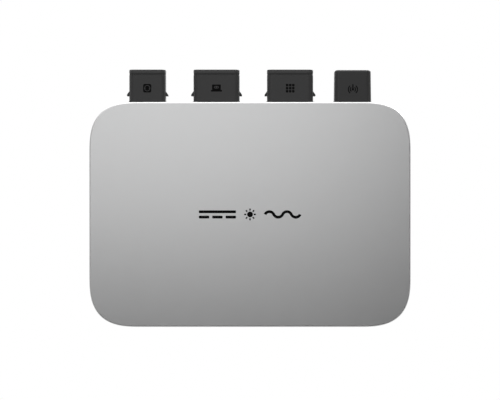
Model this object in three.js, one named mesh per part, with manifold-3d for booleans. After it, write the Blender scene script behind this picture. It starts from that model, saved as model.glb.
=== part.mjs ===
// Plug-in micro inverter: a flat aluminium housing with three capped plug-in ports and an antenna block on
// its top edge, a finned heat sink behind, and the power electronics inside.
//
// Millimetres. +X is to the right, +Z is up, and the front panel faces -Y. The origin is the centre of the
// bracket pad on the back, so "depth" below means the distance in front of that pad.
import * as THREE from "three";
import { mergeVertices } from "three/addons/utils/BufferGeometryUtils.js";
import Module from "manifold-3d";

const wasm = await Module();
wasm.setup();

// ---------------------------------------------------------------- driving dimensions

// The outline's corners are quarter superellipses: "corner" is their reach along each side.
const BODY = { width: 242, height: 169.5, depth: 30.8, corner: 39, squareness: 2.9 };
const WALL = { side: 3, front: 2, edgeRound: 1.2 };
const HALF = { width: BODY.width / 2, height: BODY.height / 2 };

// Depths of the layers, from the bracket pad to the front.
const FIN_TIP = 0.8;
const PLATE_BACK = 5;
const PLATE_FRONT = 7.5;
const GASKET = { back: 7.6, front: 8.2, inset: 0.7, width: 1.8 };
const COVER_BACK = 8.3;
const BOARD = { back: 10.5, front: 12.1, inset: 5.5, top: 71.5, bottom: -79 };
const PANEL_INSIDE = BODY.depth - WALL.front;

// The ports stand on the top wall. Heights are measured from the top wall's outer face.
const PORT = { depth: 17, centre: 18.6, corner: 4, wall: 2, rise: 21, flange: 2.4, ear: 4.5 };
const SEAT_BELOW = 4;
const GAP = 0.3;
const TOP = HALF.height;
const SEAT = TOP - SEAT_BELOW;
const PORT_GASKET = { bottom: SEAT - 0.9, top: SEAT - 0.1 };
const FLANGE_TOP = SEAT - 1;
const FLANGE_BOTTOM = FLANGE_TOP - PORT.flange;
const FLANGE_DEPTH = 19.2;
const EAR_HOLE = 1.3;
const RIM = TOP + PORT.rise;
const LUG = { above: 4.8, height: 4.1, reach: 1.85, lip: 1, depth: 8 };
const CAP = { flange: 2.6, seal: 0.9, plug: 3.5, wall: 1.5 };
const CAP_TOP = RIM + CAP.seal + CAP.flange;
const CARRIER = { top: TOP + 3, ear: 2.4 };
const PIN_TIP = RIM - 8.2;
const TAIL = { bottom: 67.5, height: 1.6 };

const PORTS = [
  { name: "grid", x: -77.5, width: 27.5, radius: 1.5, pins: [-7.5, 0, 7.5] },
  { name: "battery", x: -25.3, width: 34.8, radius: 2, pins: [-10, 10] },
  { name: "solar", x: 30.3, width: 34.8, radius: 1.5, pins: [-11.25, -3.75, 3.75, 11.25] },
];
const ANTENNA = { x: 77.6, width: 28.1, rise: 24.2, wall: 1.8, taper: 0.4, edgeRound: 1.6 };

// The pairing button and the status light share the gap between the battery and solar ports.
const CONTROLS_X = 2.45;
const BUTTON = { depth: 14.8, radius: 2.75, bottom: 77.9, travel: 0.8 };
const LIGHT = { depth: 23.2, width: 3, length: 7 };
const CONTROL_BOARD = { top: 73, thickness: 1.2, width: 10.4 };

// Screws that close the housing from behind: x, z and boss radius of each.
const COVER_SCREWS = [
  [-107, 70.8, 4],
  [107, 70.8, 4],
  [-107, -70.8, 4],
  [107, -70.8, 4],
  [-53, 79.2, 4],
  [55.4, 79.6, 2.9],
  [-40, -77.2, 4],
  [40, -77.2, 4],
];
const SCREW = { shaft: 1.25, head: 2.8, headHeight: 1.9, hole: 1.6, tip: 18 };

// What stands on the main board: x and z of each piece's centre.
const PLACES = {
  transformers: [
    [-28, 2],
    [24, 2],
  ],
  choke: [-80, 45],
  inductor: [-80, 2],
  relays: [
    [-50, 54],
    [-50, 38],
  ],
  cans: [
    [64, -4],
    [80, -4],
    [96, -4],
  ],
  radio: [81.2, 46],
};
const POTTING = { back: 7.8, front: 24, top: 66, bossRoom: 3.5 };

const FINS = { pitch: 9, thickness: 2.4, count: 23, margin: 14 };
const BRACKET_PAD = { width: 56, height: 40 };
const BOSS = { x: 84, z: 50, radius: 7, hole: 2.1, holeDepth: 6.3 };
const VENT = { z: -45, radius: 6, stem: 4 };
const EARTH = { x: 112.5, z: -28, radius: 5.5 };
const STANDOFFS = [
  [-98, 58],
  [-98, -58],
  [-40, 26],
  [-40, -34],
  [40, 26],
  [40, -34],
  [98, 58],
  [98, -58],
];

// ---------------------------------------------------------------- materials

const paint = (color, roughness, metalness = 0) =>
  new THREE.MeshStandardMaterial({ color, roughness, metalness });
const silver = paint(0xb4b5b6, 0.42, 0.85);
const castAluminium = paint(0x9a9c9e, 0.55, 0.85);
const blackPlastic = paint(0x2a2a2b, 0.55);
const blackRubber = paint(0x151515, 0.8);
const steel = paint(0x8d9093, 0.35, 1);
const brass = paint(0xc9a24a, 0.3, 1);
const boardGreen = paint(0x1f4d34, 0.5);
const ferrite = paint(0x35363a, 0.6);
const copper = paint(0xb5672c, 0.4, 1);
const relayPlastic = paint(0x1b2638, 0.5);
const sleeve = paint(0x1c1d22, 0.4);
const clearPlastic = paint(0xdfe6ea, 0.15);
const siliconeGrey = paint(0x4a4c4f, 0.8);

// ---------------------------------------------------------------- shapes and solids

// A three.js geometry as a manifold-3d solid.
function solidOf(geometry) {
  const bare = geometry.index ? geometry.clone() : geometry;
  bare.deleteAttribute("normal");
  bare.deleteAttribute("uv");
  const merged = mergeVertices(bare, 1e-4);
  return new wasm.Manifold(
    new wasm.Mesh({
      numProp: 3,
      vertProperties: merged.attributes.position.array,
      triVerts: new Uint32Array(merged.index.array),
    }),
  );
}

// One corner of the body's outline, as points from its side to its top.
function cornerPoints(reach, steps) {
  const power = 2 / BODY.squareness;
  return Array.from({ length: steps + 1 }, (_, i) => {
    const angle = (i / steps) * (Math.PI / 2);
    const along = reach * Math.max(0, Math.cos(angle)) ** power;
    const up = reach * Math.max(0, Math.sin(angle)) ** power;
    return new THREE.Vector2(along, up);
  });
}

// The body's outline seen from the front, moved in by inset.
function bodyOutline(inset, steps = 9) {
  const reach = BODY.corner - inset;
  const x = HALF.width - BODY.corner;
  const z = HALF.height - BODY.corner;
  const corner = cornerPoints(reach, steps);
  const back = [...corner].reverse();
  return new THREE.Shape([
    ...corner.map((p) => new THREE.Vector2(x + p.x, z + p.y)),
    ...back.map((p) => new THREE.Vector2(-x - p.x, z + p.y)),
    ...corner.map((p) => new THREE.Vector2(-x - p.x, -z - p.y)),
    ...back.map((p) => new THREE.Vector2(x + p.x, -z - p.y)),
  ]);
}

// Half the body's height at a distance x from its centre.
function halfHeightAt(x) {
  const into = Math.abs(x) - (HALF.width - BODY.corner);
  if (into <= 0) return HALF.height;
  const left = 1 - (into / BODY.corner) ** BODY.squareness;
  return HALF.height - BODY.corner + BODY.corner * left ** (1 / BODY.squareness);
}

function roundedRect(width, height, radius, x = 0, y = 0) {
  const w = width / 2 - radius;
  const h = height / 2 - radius;
  const shape = new THREE.Shape();
  shape.absarc(x + w, y - h, radius, -Math.PI / 2, 0);
  shape.absarc(x + w, y + h, radius, 0, Math.PI / 2);
  shape.absarc(x - w, y + h, radius, Math.PI / 2, Math.PI);
  shape.absarc(x - w, y - h, radius, Math.PI, 1.5 * Math.PI);
  return shape;
}

const extruded = (shape, length, options = {}) =>
  new THREE.ExtrudeGeometry(shape, { depth: length, bevelEnabled: false, curveSegments: 2, ...options });

// An outline drawn as seen from the front, filled between two depths.
function slab(shape, back, front) {
  return solidOf(extruded(shape, front - back).translate(0, 0, back).rotateX(Math.PI / 2));
}

// An outline drawn as seen from above, filled between two heights.
function post(shape, bottom, top) {
  return solidOf(extruded(shape, top - bottom).translate(0, 0, bottom));
}

// A round peg along Y, between two depths.
function peg(x, z, radius, back, front, sides = 16) {
  const geometry = new THREE.CylinderGeometry(radius, radius, front - back, sides);
  return solidOf(geometry.translate(x, -(back + front) / 2, z));
}

// A round pin along Z, between two heights, with its axis at a given depth.
function pin(x, depth, radius, bottom, top, sides = 12) {
  const geometry = new THREE.CylinderGeometry(radius, radius, top - bottom, sides).rotateX(Math.PI / 2);
  return solidOf(geometry.translate(x, -depth, (bottom + top) / 2));
}

// A box: x range, depth range and height range.
function block([x0, x1], [back, front], [z0, z1]) {
  const geometry = new THREE.BoxGeometry(x1 - x0, front - back, z1 - z0);
  return solidOf(geometry.translate((x0 + x1) / 2, -(back + front) / 2, (z0 + z1) / 2));
}

const around = (centre, size) => [centre - size / 2, centre + size / 2];
const joined = (solids) => solids.reduce((whole, solid) => whole.add(solid));
const cutAll = (solid, cuts) => cuts.reduce((rest, cut) => rest.subtract(cut), solid);

const inverter = new THREE.Group();

function place(name, solid, material) {
  const made = solid.getMesh();
  const geometry = new THREE.BufferGeometry();
  geometry.setAttribute("position", new THREE.BufferAttribute(made.vertProperties, 3));
  geometry.setIndex(new THREE.BufferAttribute(made.triVerts, 1));
  geometry.computeVertexNormals();
  const mesh = new THREE.Mesh(geometry, material);
  mesh.name = name;
  inverter.add(mesh);
}

// ---------------------------------------------------------------- front cover

const portPlan = (port, grow = 0, radius = PORT.corner) =>
  roundedRect(port.width + 2 * grow, PORT.depth + 2 * grow, radius, port.x, -PORT.centre);

function lightPlan(grow) {
  const width = LIGHT.width + 2 * grow;
  return roundedRect(width, LIGHT.length + 2 * grow, width / 2 - 0.01, CONTROLS_X, -LIGHT.depth);
}

// Options for an extrusion whose two ends are rounded without growing its outline.
const roundedEnds = (radius) => ({
  bevelEnabled: true,
  bevelSize: radius,
  bevelThickness: radius,
  bevelOffset: -radius,
  bevelSegments: 3,
});

function coverBody() {
  const round = WALL.edgeRound;
  const deep = extruded(bodyOutline(0), BODY.depth - 2 * round, roundedEnds(round));
  const whole = solidOf(deep.translate(0, 0, round).rotateX(Math.PI / 2));
  const reach = [-HALF.width - 1, HALF.width + 1];
  return whole.subtract(block(reach, [-1, COVER_BACK], reach));
}

function frontCover() {
  const body = coverBody();
  const shell = body.subtract(slab(bodyOutline(WALL.side), COVER_BACK - 1, PANEL_INSIDE));
  const seat = block([-98, 98], [COVER_BACK, PANEL_INSIDE + 0.5], [SEAT, TOP]).intersect(body);
  const columns = COVER_SCREWS.map(([x, z, r]) => peg(x, z, r, COVER_BACK, PANEL_INSIDE + 0.5));
  const bosses = columns.map((column) => column.intersect(body));
  const pilots = COVER_SCREWS.map(([x, z]) => peg(x, z, SCREW.hole, 5, SCREW.tip + 1, 10));
  const openings = [...PORTS, ANTENNA].map((port) => post(portPlan(port, GAP), SEAT - 1, TOP + 2));
  const button = pin(CONTROLS_X, BUTTON.depth, BUTTON.radius + GAP, SEAT - 1, TOP + 2, 16);
  const light = post(lightPlan(GAP), SEAT - 1, TOP + 2);
  const earScrews = [...PORTS, ANTENNA].flatMap((port) => earHoles(port, SEAT - 1, TOP - 1.2));
  return cutAll(joined([shell, seat, ...bosses]), [...pilots, ...openings, button, light, ...earScrews]);
}

// ---------------------------------------------------------------- heat sink and seal

function heatSink() {
  const plate = slab(bodyOutline(0), PLATE_BACK, PLATE_FRONT);
  const first = (-(FINS.count - 1) / 2) * FINS.pitch;
  const fins = Array.from({ length: FINS.count }, (_, i) => {
    const x = first + i * FINS.pitch;
    const reach = halfHeightAt(x) - FINS.margin;
    return block(around(x, FINS.thickness), [FIN_TIP, PLATE_BACK + 0.2], [-reach, reach]);
  });
  const corners = [-1, 1].flatMap((sx) => [-1, 1].map((sz) => [sx * BOSS.x, sz * BOSS.z]));
  const clearings = corners.map(([x, z]) => peg(x, z, BOSS.radius + 3, -1, PLATE_BACK));
  const { width, height } = BRACKET_PAD;
  const padRoom = block(around(0, width + 6), [-1, PLATE_BACK], around(0, height + 6));
  const ventRoom = peg(0, VENT.z, VENT.radius + 3, -1, PLATE_BACK);
  const finField = cutAll(joined(fins), [...clearings, padRoom, ventRoom]);
  const pad = slab(roundedRect(width, height, 5), 0, PLATE_BACK + 0.2);
  const bosses = corners.map(([x, z]) => peg(x, z, BOSS.radius, 0, PLATE_BACK + 0.2, 24));
  const earthPad = peg(EARTH.x, EARTH.z, EARTH.radius, 2.5, PLATE_BACK + 0.2, 20);
  const standoffs = STANDOFFS.map(([x, z]) => peg(x, z, 3.2, PLATE_FRONT - 0.2, BOARD.back - 0.1, 12));
  const holes = [
    ...corners.map(([x, z]) => peg(x, z, BOSS.hole, -1, BOSS.holeDepth, 16)),
    ...COVER_SCREWS.map(([x, z]) => peg(x, z, SCREW.hole, 0, 9, 10)),
    ...STANDOFFS.map(([x, z]) => peg(x, z, 1.3, PLATE_BACK + 1, 12, 8)),
    peg(0, VENT.z, VENT.stem + GAP, 0, 9, 16),
    peg(EARTH.x, EARTH.z, 2.2, 0, PLATE_FRONT - 0.8, 12),
  ];
  return cutAll(joined([plate, finField, pad, ...bosses, earthPad, ...standoffs]), holes);
}

function perimeterGasket() {
  const { back, front, inset, width } = GASKET;
  const inside = slab(bodyOutline(inset + width), back - 1, front + 1);
  return slab(bodyOutline(inset), back, front).subtract(inside);
}

function coverScrew(x, z) {
  const head = peg(x, z, SCREW.head, PLATE_BACK - 0.1 - SCREW.headHeight, PLATE_BACK - 0.1, 16);
  const drive = peg(x, z, 1.3, 0, PLATE_BACK - 0.1 - 0.7, 6);
  const shaft = peg(x, z, SCREW.shaft, PLATE_BACK - 0.3, SCREW.tip, 10);
  return head.subtract(drive).add(shaft);
}

function ventPlug() {
  const cap = peg(0, VENT.z, VENT.radius, 1.4, PLATE_BACK - 0.1, 24);
  const slots = [0, 1, 2].map((i) => block([-8, 8], [0, 2.2], around(VENT.z - 2.6 + 2.6 * i, 0.9)));
  return cutAll(cap, slots).add(peg(0, VENT.z, VENT.stem, PLATE_BACK - 0.3, 9.5, 16));
}

function earthScrew() {
  const head = peg(EARTH.x, EARTH.z, 3.6, 0.2, 1.9, 16);
  const washer = peg(EARTH.x, EARTH.z, 4.6, 1.9, 2.4, 20);
  const slot = block(around(EARTH.x, 0.9), [0, 1.1], around(EARTH.z, 9));
  return joined([head, washer, peg(EARTH.x, EARTH.z, 1.8, 2, 6.2, 12)]).subtract(slot);
}

// ---------------------------------------------------------------- ports

const flangePlan = (port) =>
  roundedRect(port.width + 2 * PORT.ear, FLANGE_DEPTH, 3, port.x, -PORT.centre);

// Holes for the screw at either end of a port's flange, between two heights.
function earHoles(port, bottom = 70, top = SEAT + 1) {
  const out = port.width / 2 + PORT.ear / 2;
  return [-out, out].map((x) => pin(port.x + x, PORT.centre, EAR_HOLE, bottom, top, 8));
}

// A locking lug: a ramp that a plug's latch rides over, flat underneath.
function lug(port, side) {
  const wall = side * (port.width / 2 - 0.5);
  const face = side * (port.width / 2);
  const tip = side * (port.width / 2 + LUG.reach);
  const bottom = TOP + LUG.above;
  const ramp = new THREE.Shape([
    new THREE.Vector2(port.x + wall, bottom),
    new THREE.Vector2(port.x + tip, bottom),
    new THREE.Vector2(port.x + tip, bottom + LUG.lip),
    new THREE.Vector2(port.x + face, bottom + LUG.height),
    new THREE.Vector2(port.x + wall, bottom + LUG.height),
  ]);
  return slab(ramp, PORT.centre - LUG.depth / 2, PORT.centre + LUG.depth / 2);
}

function portShroud(port) {
  const tube = post(portPlan(port), FLANGE_BOTTOM, RIM);
  const flange = post(flangePlan(port), FLANGE_BOTTOM, FLANGE_TOP);
  const socket = post(portPlan(port, -PORT.wall, PORT.corner - PORT.wall), FLANGE_BOTTOM - 1, RIM + 1);
  return cutAll(joined([tube, flange, lug(port, -1), lug(port, 1)]), [socket, ...earHoles(port)]);
}

function contactCarrier(port) {
  const inside = -PORT.wall - GAP;
  const plug = post(portPlan(port, inside, PORT.corner + inside), FLANGE_BOTTOM - 0.2, CARRIER.top);
  const flange = post(flangePlan(port), FLANGE_BOTTOM - 0.1 - CARRIER.ear, FLANGE_BOTTOM - 0.1);
  const pinHoles = port.pins.map((x) => pin(port.x + x, PORT.centre, port.radius + GAP, 60, RIM));
  return cutAll(joined([plug, flange]), [...pinHoles, ...earHoles(port)]);
}

function contact(port, x) {
  const tip = pin(port.x + x, PORT.centre, port.radius * 0.6, PIN_TIP - 1, PIN_TIP);
  const body = pin(port.x + x, PORT.centre, port.radius, TAIL.bottom, PIN_TIP - 1);
  const depths = [BOARD.front + 0.3, PORT.centre];
  const heights = [TAIL.bottom, TAIL.bottom + TAIL.height];
  const tail = block(around(port.x + x, port.radius * 1.2), depths, heights);
  return joined([tip, body, tail]);
}

function portGasket(port) {
  const ring = post(flangePlan(port), PORT_GASKET.bottom, PORT_GASKET.top);
  const opening = post(portPlan(port, GAP), PORT_GASKET.bottom - 1, PORT_GASKET.top + 1);
  return cutAll(ring, [opening, ...earHoles(port)]);
}

// A cap's flange covers the rim, and its hollow plug goes into the socket.
function portCap(port) {
  const inside = -PORT.wall - 0.35;
  const flange = post(portPlan(port), RIM + CAP.seal, CAP_TOP);
  const plug = post(portPlan(port, inside, PORT.corner + inside), RIM - CAP.plug, RIM + CAP.seal + 0.1);
  const hollow = inside - CAP.wall;
  const room = post(portPlan(port, hollow, 0.6), RIM - CAP.plug - 1, RIM + CAP.seal - 0.5);
  return joined([flange, plug]).subtract(room);
}

function capSeal(port) {
  const bottom = RIM + 0.05;
  const top = RIM + CAP.seal - 0.05;
  const ring = post(portPlan(port, -0.6, PORT.corner - 0.6), bottom, top);
  const inside = -PORT.wall - 0.25;
  return ring.subtract(post(portPlan(port, inside, PORT.corner + inside), bottom - 1, top + 1));
}

// ---------------------------------------------------------------- antenna

// The block narrows slightly towards its rounded top.
function antennaRadome() {
  const round = ANTENNA.edgeRound;
  const bottom = FLANGE_BOTTOM;
  const height = TOP + ANTENNA.rise - bottom;
  const geometry = extruded(portPlan(ANTENNA), height - round, roundedEnds(round)).translate(0, 0, bottom);
  const at = geometry.attributes.position;
  for (let i = 0; i < at.count; i++) {
    const share = Math.max(0, at.getZ(i) - TOP) / ANTENNA.rise;
    const keep = 1 - (share * ANTENNA.taper) / (ANTENNA.width / 2);
    at.setX(i, ANTENNA.x + (at.getX(i) - ANTENNA.x) * keep);
  }
  const reach = [-200, 200];
  const tower = solidOf(geometry).subtract(block(reach, reach, [0, bottom]));
  const flange = post(flangePlan(ANTENNA), FLANGE_BOTTOM, FLANGE_TOP);
  const room = post(portPlan(ANTENNA, -ANTENNA.wall - 0.4, 2), bottom - 1, TOP + ANTENNA.rise - 2.2);
  return cutAll(joined([tower, flange]), [room, ...earHoles(ANTENNA)]);
}

function antennaBoard() {
  const board = block(around(ANTENNA.x, 20), around(PORT.centre, 1), [FLANGE_BOTTOM - 1, TOP + 20]);
  return board.subtract(block(around(ANTENNA.x + 10, 6), around(PORT.centre, 3), [TOP - 2, TOP + 4]));
}

// The aerial lead leaves the board's lower end and drops to the radio module.
function antennaCoax() {
  const depth = PORT.centre;
  const route = [
    [ANTENNA.x, depth, 76],
    [ANTENNA.x, depth + 0.2, 72],
    [ANTENNA.x + 1.5, depth + 1, 67],
    [ANTENNA.x + 3, depth + 0.6, 62],
    [ANTENNA.x + 3.6, depth - 1.4, 57],
    [ANTENNA.x + 3.9, depth - 2.2, 52],
    [ANTENNA.x + 4, depth - 2.2, 49],
  ];
  const curve = new THREE.CatmullRomCurve3(route.map(([x, d, z]) => new THREE.Vector3(x, -d, z)));
  const section = new THREE.Shape().absarc(0, 0, 0.65, 0, 2 * Math.PI);
  return solidOf(new THREE.ExtrudeGeometry(section, { steps: 16, extrudePath: curve, curveSegments: 4 }));
}

// ---------------------------------------------------------------- button and status light

function pairingButton() {
  const shaft = pin(CONTROLS_X, BUTTON.depth, BUTTON.radius, BUTTON.bottom, TOP - 0.2, 20);
  const flange = pin(CONTROLS_X, BUTTON.depth, 3.7, BUTTON.bottom, BUTTON.bottom + 1, 20);
  const stem = pin(CONTROLS_X, BUTTON.depth, 1.2, BUTTON.bottom - 0.7, BUTTON.bottom + 0.1);
  return joined([shaft, flange, stem]);
}

// A flat silicone ring between the button's flange and the wall.
function buttonBoot() {
  const ring = [
    new THREE.Vector2(3.05, 79.3),
    new THREE.Vector2(3.8, 79.3),
    new THREE.Vector2(3.8, SEAT - 0.1),
    new THREE.Vector2(3.05, SEAT - 0.1),
    new THREE.Vector2(3.05, 79.3),
  ];
  const geometry = new THREE.LatheGeometry(ring, 20).rotateX(Math.PI / 2);
  return solidOf(geometry.translate(CONTROLS_X, -BUTTON.depth, 0));
}

function buttonSwitch() {
  const top = CONTROL_BOARD.top;
  const housing = block(around(CONTROLS_X, 4.5), around(BUTTON.depth, 4.5), [top, top + 2.6]);
  const plungerTop = BUTTON.bottom - 0.7 - BUTTON.travel - 0.1;
  return housing.add(pin(CONTROLS_X, BUTTON.depth, 0.9, top + 2.4, plungerTop));
}

function statusLight() {
  const pipe = post(lightPlan(0), CONTROL_BOARD.top + 2.2, TOP - 0.1);
  return pipe.add(post(lightPlan(0.8), 78.4, 80.4));
}

function controlBoard() {
  const { top, thickness, width } = CONTROL_BOARD;
  return block(around(CONTROLS_X, width), [10.2, 27.6], [top - thickness, top]);
}

// ---------------------------------------------------------------- main board and what stands on it

function mainBoard() {
  const plan = slab(bodyOutline(BOARD.inset, 6), BOARD.back, BOARD.front);
  const used = block([-130, 130], [BOARD.back - 1, BOARD.front + 1], [BOARD.bottom, BOARD.top]);
  const bossRoom = COVER_SCREWS.map(([x, z, r]) => peg(x, z, r + 0.8, 0, 20, 12));
  const screwHoles = STANDOFFS.map(([x, z]) => peg(x, z, 1.7, 0, 20, 10));
  return cutAll(plan.intersect(used), [...bossRoom, ...screwHoles]);
}

const ON_BOARD = BOARD.front + 0.1;
const CORE = { width: 38, depth: 11.5, height: 34, window: 7, leg: 12, back: 5, lift: 1.4 };

// A pair of E-shaped ferrite halves round a wound centre leg. The winding bulges out in front and behind.
function transformerCore([x, z]) {
  const depths = [ON_BOARD + CORE.lift, ON_BOARD + CORE.lift + CORE.depth];
  const outside = block(around(x, CORE.width), depths, around(z, CORE.height));
  const windows = [-1, 1].map((side) => {
    const centre = x + side * (CORE.leg / 2 + CORE.window / 2);
    return block(around(centre, CORE.window), [0, 40], around(z, CORE.height - 2 * CORE.back));
  });
  return cutAll(outside, windows);
}

function transformerWinding([x, z]) {
  const height = CORE.height - 2 * CORE.back - 1;
  const middle = ON_BOARD + CORE.lift + CORE.depth / 2;
  const coil = roundedRect(CORE.leg + 2 * CORE.window - 0.8, CORE.depth + 2 * CORE.lift, 3, x, -middle);
  const leg = block(around(x, CORE.leg + 0.8), around(middle, CORE.depth + 0.6), [z - height, z + height]);
  return post(coil, z - height / 2, z + height / 2).subtract(leg);
}

// A ring core lying flat on the board.
function commonModeChoke([x, z]) {
  const radii = { inner: 5.5, outer: 13 };
  const height = 12.5;
  const ring = [
    new THREE.Vector2(radii.inner, 1),
    new THREE.Vector2(radii.inner + 1, 0),
    new THREE.Vector2(radii.outer - 1, 0),
    new THREE.Vector2(radii.outer, 1),
    new THREE.Vector2(radii.outer, height - 1),
    new THREE.Vector2(radii.outer - 1, height),
    new THREE.Vector2(radii.inner + 1, height),
    new THREE.Vector2(radii.inner, height - 1),
    new THREE.Vector2(radii.inner, 1),
  ];
  return solidOf(new THREE.LatheGeometry(ring, 20).translate(x, -ON_BOARD - height, z));
}

function outputInductor([x, z]) {
  const core = block(around(x, 30), [ON_BOARD, ON_BOARD + 14], around(z, 30));
  const waist = [-1, 1].map((side) => block(around(x + side * 14, 8), [0, 40], around(z, 20)));
  return cutAll(core, waist);
}

const relay = ([x, z]) => slab(roundedRect(20, 12.5, 1, x, z), ON_BOARD, ON_BOARD + 15);

// A capacitor can lying on the board, along Z.
const CAN = { radius: 7, length: 32 };
const lyingCan = ([x, z]) =>
  pin(x, ON_BOARD + CAN.radius, CAN.radius, z - CAN.length / 2, z + CAN.length / 2, 16);

const RADIO = { width: 22, height: 18 };

function radioModule([x, z]) {
  const board = block(around(x, RADIO.width), [ON_BOARD, ON_BOARD + 1], around(z, RADIO.height));
  return board.add(block(around(x, 19), [ON_BOARD + 0.9, ON_BOARD + 3.2], around(z - 1, 14)));
}

// The cured compound that fills the housing round the board, with a pocket for whatever stands on the board.
function pottingCompound() {
  const filled = slab(bodyOutline(WALL.side + 0.4, 6), POTTING.back, POTTING.front);
  const below = block([-130, 130], [0, 40], [-100, POTTING.top]);
  const boardOutline = slab(bodyOutline(BOARD.inset - GAP, 6), BOARD.back - GAP, BOARD.front + GAP);
  const boardRange = [BOARD.bottom - GAP, BOARD.top + 20];
  const boardRoom = boardOutline.intersect(block([-130, 130], [0, 40], boardRange));
  const pocket = ([x, z], width, height) =>
    block(around(x, width + 1), [BOARD.front, 40], around(z, height + 1));
  const [radioX, radioZ] = PLACES.radio;
  const radioRoom = block(around(radioX, RADIO.width + 1), [BOARD.front, 40], [radioZ - 10, 80]);
  return cutAll(filled.intersect(below), [
    boardRoom,
    radioRoom,
    ...PLACES.transformers.map((at) => pocket(at, CORE.width, CORE.height)),
    ...PLACES.relays.map((at) => pocket(at, 20, 12.5)),
    ...PLACES.cans.map((at) => pocket(at, 2 * CAN.radius, CAN.length)),
    pocket(PLACES.choke, 26, 26),
    pocket(PLACES.inductor, 30, 30),
    ...COVER_SCREWS.map(([x, z, r]) => peg(x, z, r + POTTING.bossRoom, 0, 40, 12)),
    ...STANDOFFS.map(([x, z]) => peg(x, z, 3.6, 0, BOARD.back, 12)),
    peg(0, VENT.z, VENT.stem + 0.6, 0, BOARD.back, 12),
  ]);
}

// ---------------------------------------------------------------- assembly

place("front_cover", frontCover(), silver);
place("heat_sink_base", heatSink(), castAluminium);
place("perimeter_gasket", perimeterGasket(), blackRubber);
COVER_SCREWS.forEach(([x, z], i) => place(`cover_screw_${i + 1}`, coverScrew(x, z), steel));
place("vent_plug", ventPlug(), blackPlastic);
place("earth_screw", earthScrew(), steel);

for (const port of PORTS) {
  place(`${port.name}_port_shroud`, portShroud(port), blackPlastic);
  place(`${port.name}_contact_carrier`, contactCarrier(port), blackPlastic);
  port.pins.forEach((x, i) => place(`${port.name}_contact_${i + 1}`, contact(port, x), brass));
  place(`${port.name}_port_gasket`, portGasket(port), blackRubber);
  place(`${port.name}_port_cap`, portCap(port), blackPlastic);
  place(`${port.name}_cap_seal`, capSeal(port), blackRubber);
}

place("antenna_radome", antennaRadome(), blackPlastic);
place("antenna_gasket", portGasket(ANTENNA), blackRubber);
place("antenna_board", antennaBoard(), boardGreen);
place("antenna_coax", antennaCoax(), blackPlastic);

place("pairing_button", pairingButton(), blackRubber);
place("button_boot", buttonBoot(), siliconeGrey);
place("button_switch", buttonSwitch(), blackPlastic);
place("status_light_pipe", statusLight(), clearPlastic);
place("control_board", controlBoard(), boardGreen);

place("main_board", mainBoard(), boardGreen);
PLACES.transformers.forEach((at, i) => {
  place(`transformer_core_${i + 1}`, transformerCore(at), ferrite);
  place(`transformer_winding_${i + 1}`, transformerWinding(at), copper);
});
place("common_mode_choke", commonModeChoke(PLACES.choke), ferrite);
place("output_inductor", outputInductor(PLACES.inductor), ferrite);
PLACES.relays.forEach((at, i) => place(`grid_relay_${i + 1}`, relay(at), relayPlastic));
PLACES.cans.forEach((at, i) => place(`bulk_capacitor_${i + 1}`, lyingCan(at), sleeve));
place("radio_module", radioModule(PLACES.radio), steel);
place("potting_compound", pottingCompound(), siliconeGrey);

export default inverter;
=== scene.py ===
# %% [markdown]
# # A plug-in micro inverter
#
# A micro inverter turns the direct current of solar panels or a battery into mains current. This one is a flat
# aluminium box with softly rounded corners. Three black ports and a black antenna block stand on its top edge, and
# a finned heat sink closes its back.
#
# The engineering model is already finished: it holds every size, every joint and every hidden part. This lesson
# gives it its looks. Each visible piece is modelled again in fine detail at the place the model gives, and every
# hidden piece gets a proper material.

# %% Load the fixed model
import math

import bmesh
import bpy
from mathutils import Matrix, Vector


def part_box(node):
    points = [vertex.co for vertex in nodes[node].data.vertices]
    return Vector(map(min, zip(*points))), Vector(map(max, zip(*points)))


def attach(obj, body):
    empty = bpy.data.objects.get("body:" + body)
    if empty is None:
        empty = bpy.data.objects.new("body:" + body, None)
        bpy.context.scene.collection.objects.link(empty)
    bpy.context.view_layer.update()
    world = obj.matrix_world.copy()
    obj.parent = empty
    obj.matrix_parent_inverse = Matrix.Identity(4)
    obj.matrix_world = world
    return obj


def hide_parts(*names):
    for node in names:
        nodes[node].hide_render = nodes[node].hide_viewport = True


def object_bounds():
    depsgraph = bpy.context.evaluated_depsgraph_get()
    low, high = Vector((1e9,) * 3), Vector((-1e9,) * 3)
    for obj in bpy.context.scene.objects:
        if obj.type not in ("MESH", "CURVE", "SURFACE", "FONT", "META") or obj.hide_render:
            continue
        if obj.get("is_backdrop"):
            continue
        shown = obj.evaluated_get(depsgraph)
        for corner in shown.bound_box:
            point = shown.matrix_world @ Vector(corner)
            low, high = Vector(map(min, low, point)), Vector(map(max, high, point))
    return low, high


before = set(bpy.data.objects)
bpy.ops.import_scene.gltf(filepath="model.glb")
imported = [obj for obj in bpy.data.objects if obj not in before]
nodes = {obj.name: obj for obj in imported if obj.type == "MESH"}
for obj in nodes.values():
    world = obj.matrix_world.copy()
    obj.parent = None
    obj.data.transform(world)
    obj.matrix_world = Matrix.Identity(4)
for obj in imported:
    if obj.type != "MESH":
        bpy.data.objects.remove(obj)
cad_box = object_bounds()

MM = 0.001

# %% [markdown]
# ## The view
#
# The camera looks straight at the front panel, a little above its middle. A long lens from almost a metre and a
# half keeps the side walls out of sight, so the housing reads as a flat plate with its ports on top. The distance
# follows from the lens and from how wide a strip of the panel's plane the picture takes in.

# %% Camera
SENSOR = 36
LENS = 135
PICTURE_WIDTH = 376 * MM
EYE_HEIGHT = 10.85 * MM

cover_low, cover_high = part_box("front_cover")
distance = PICTURE_WIDTH * LENS / SENSOR
bpy.ops.object.camera_add(
    location=(0, cover_low.y - distance, EYE_HEIGHT), rotation=(math.radians(90), 0, 0)
)
camera = bpy.context.active_object
camera.data.lens = LENS
camera.data.sensor_width = SENSOR
bpy.context.scene.camera = camera
print(f"camera {distance:.3f} m in front of the panel")

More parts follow.
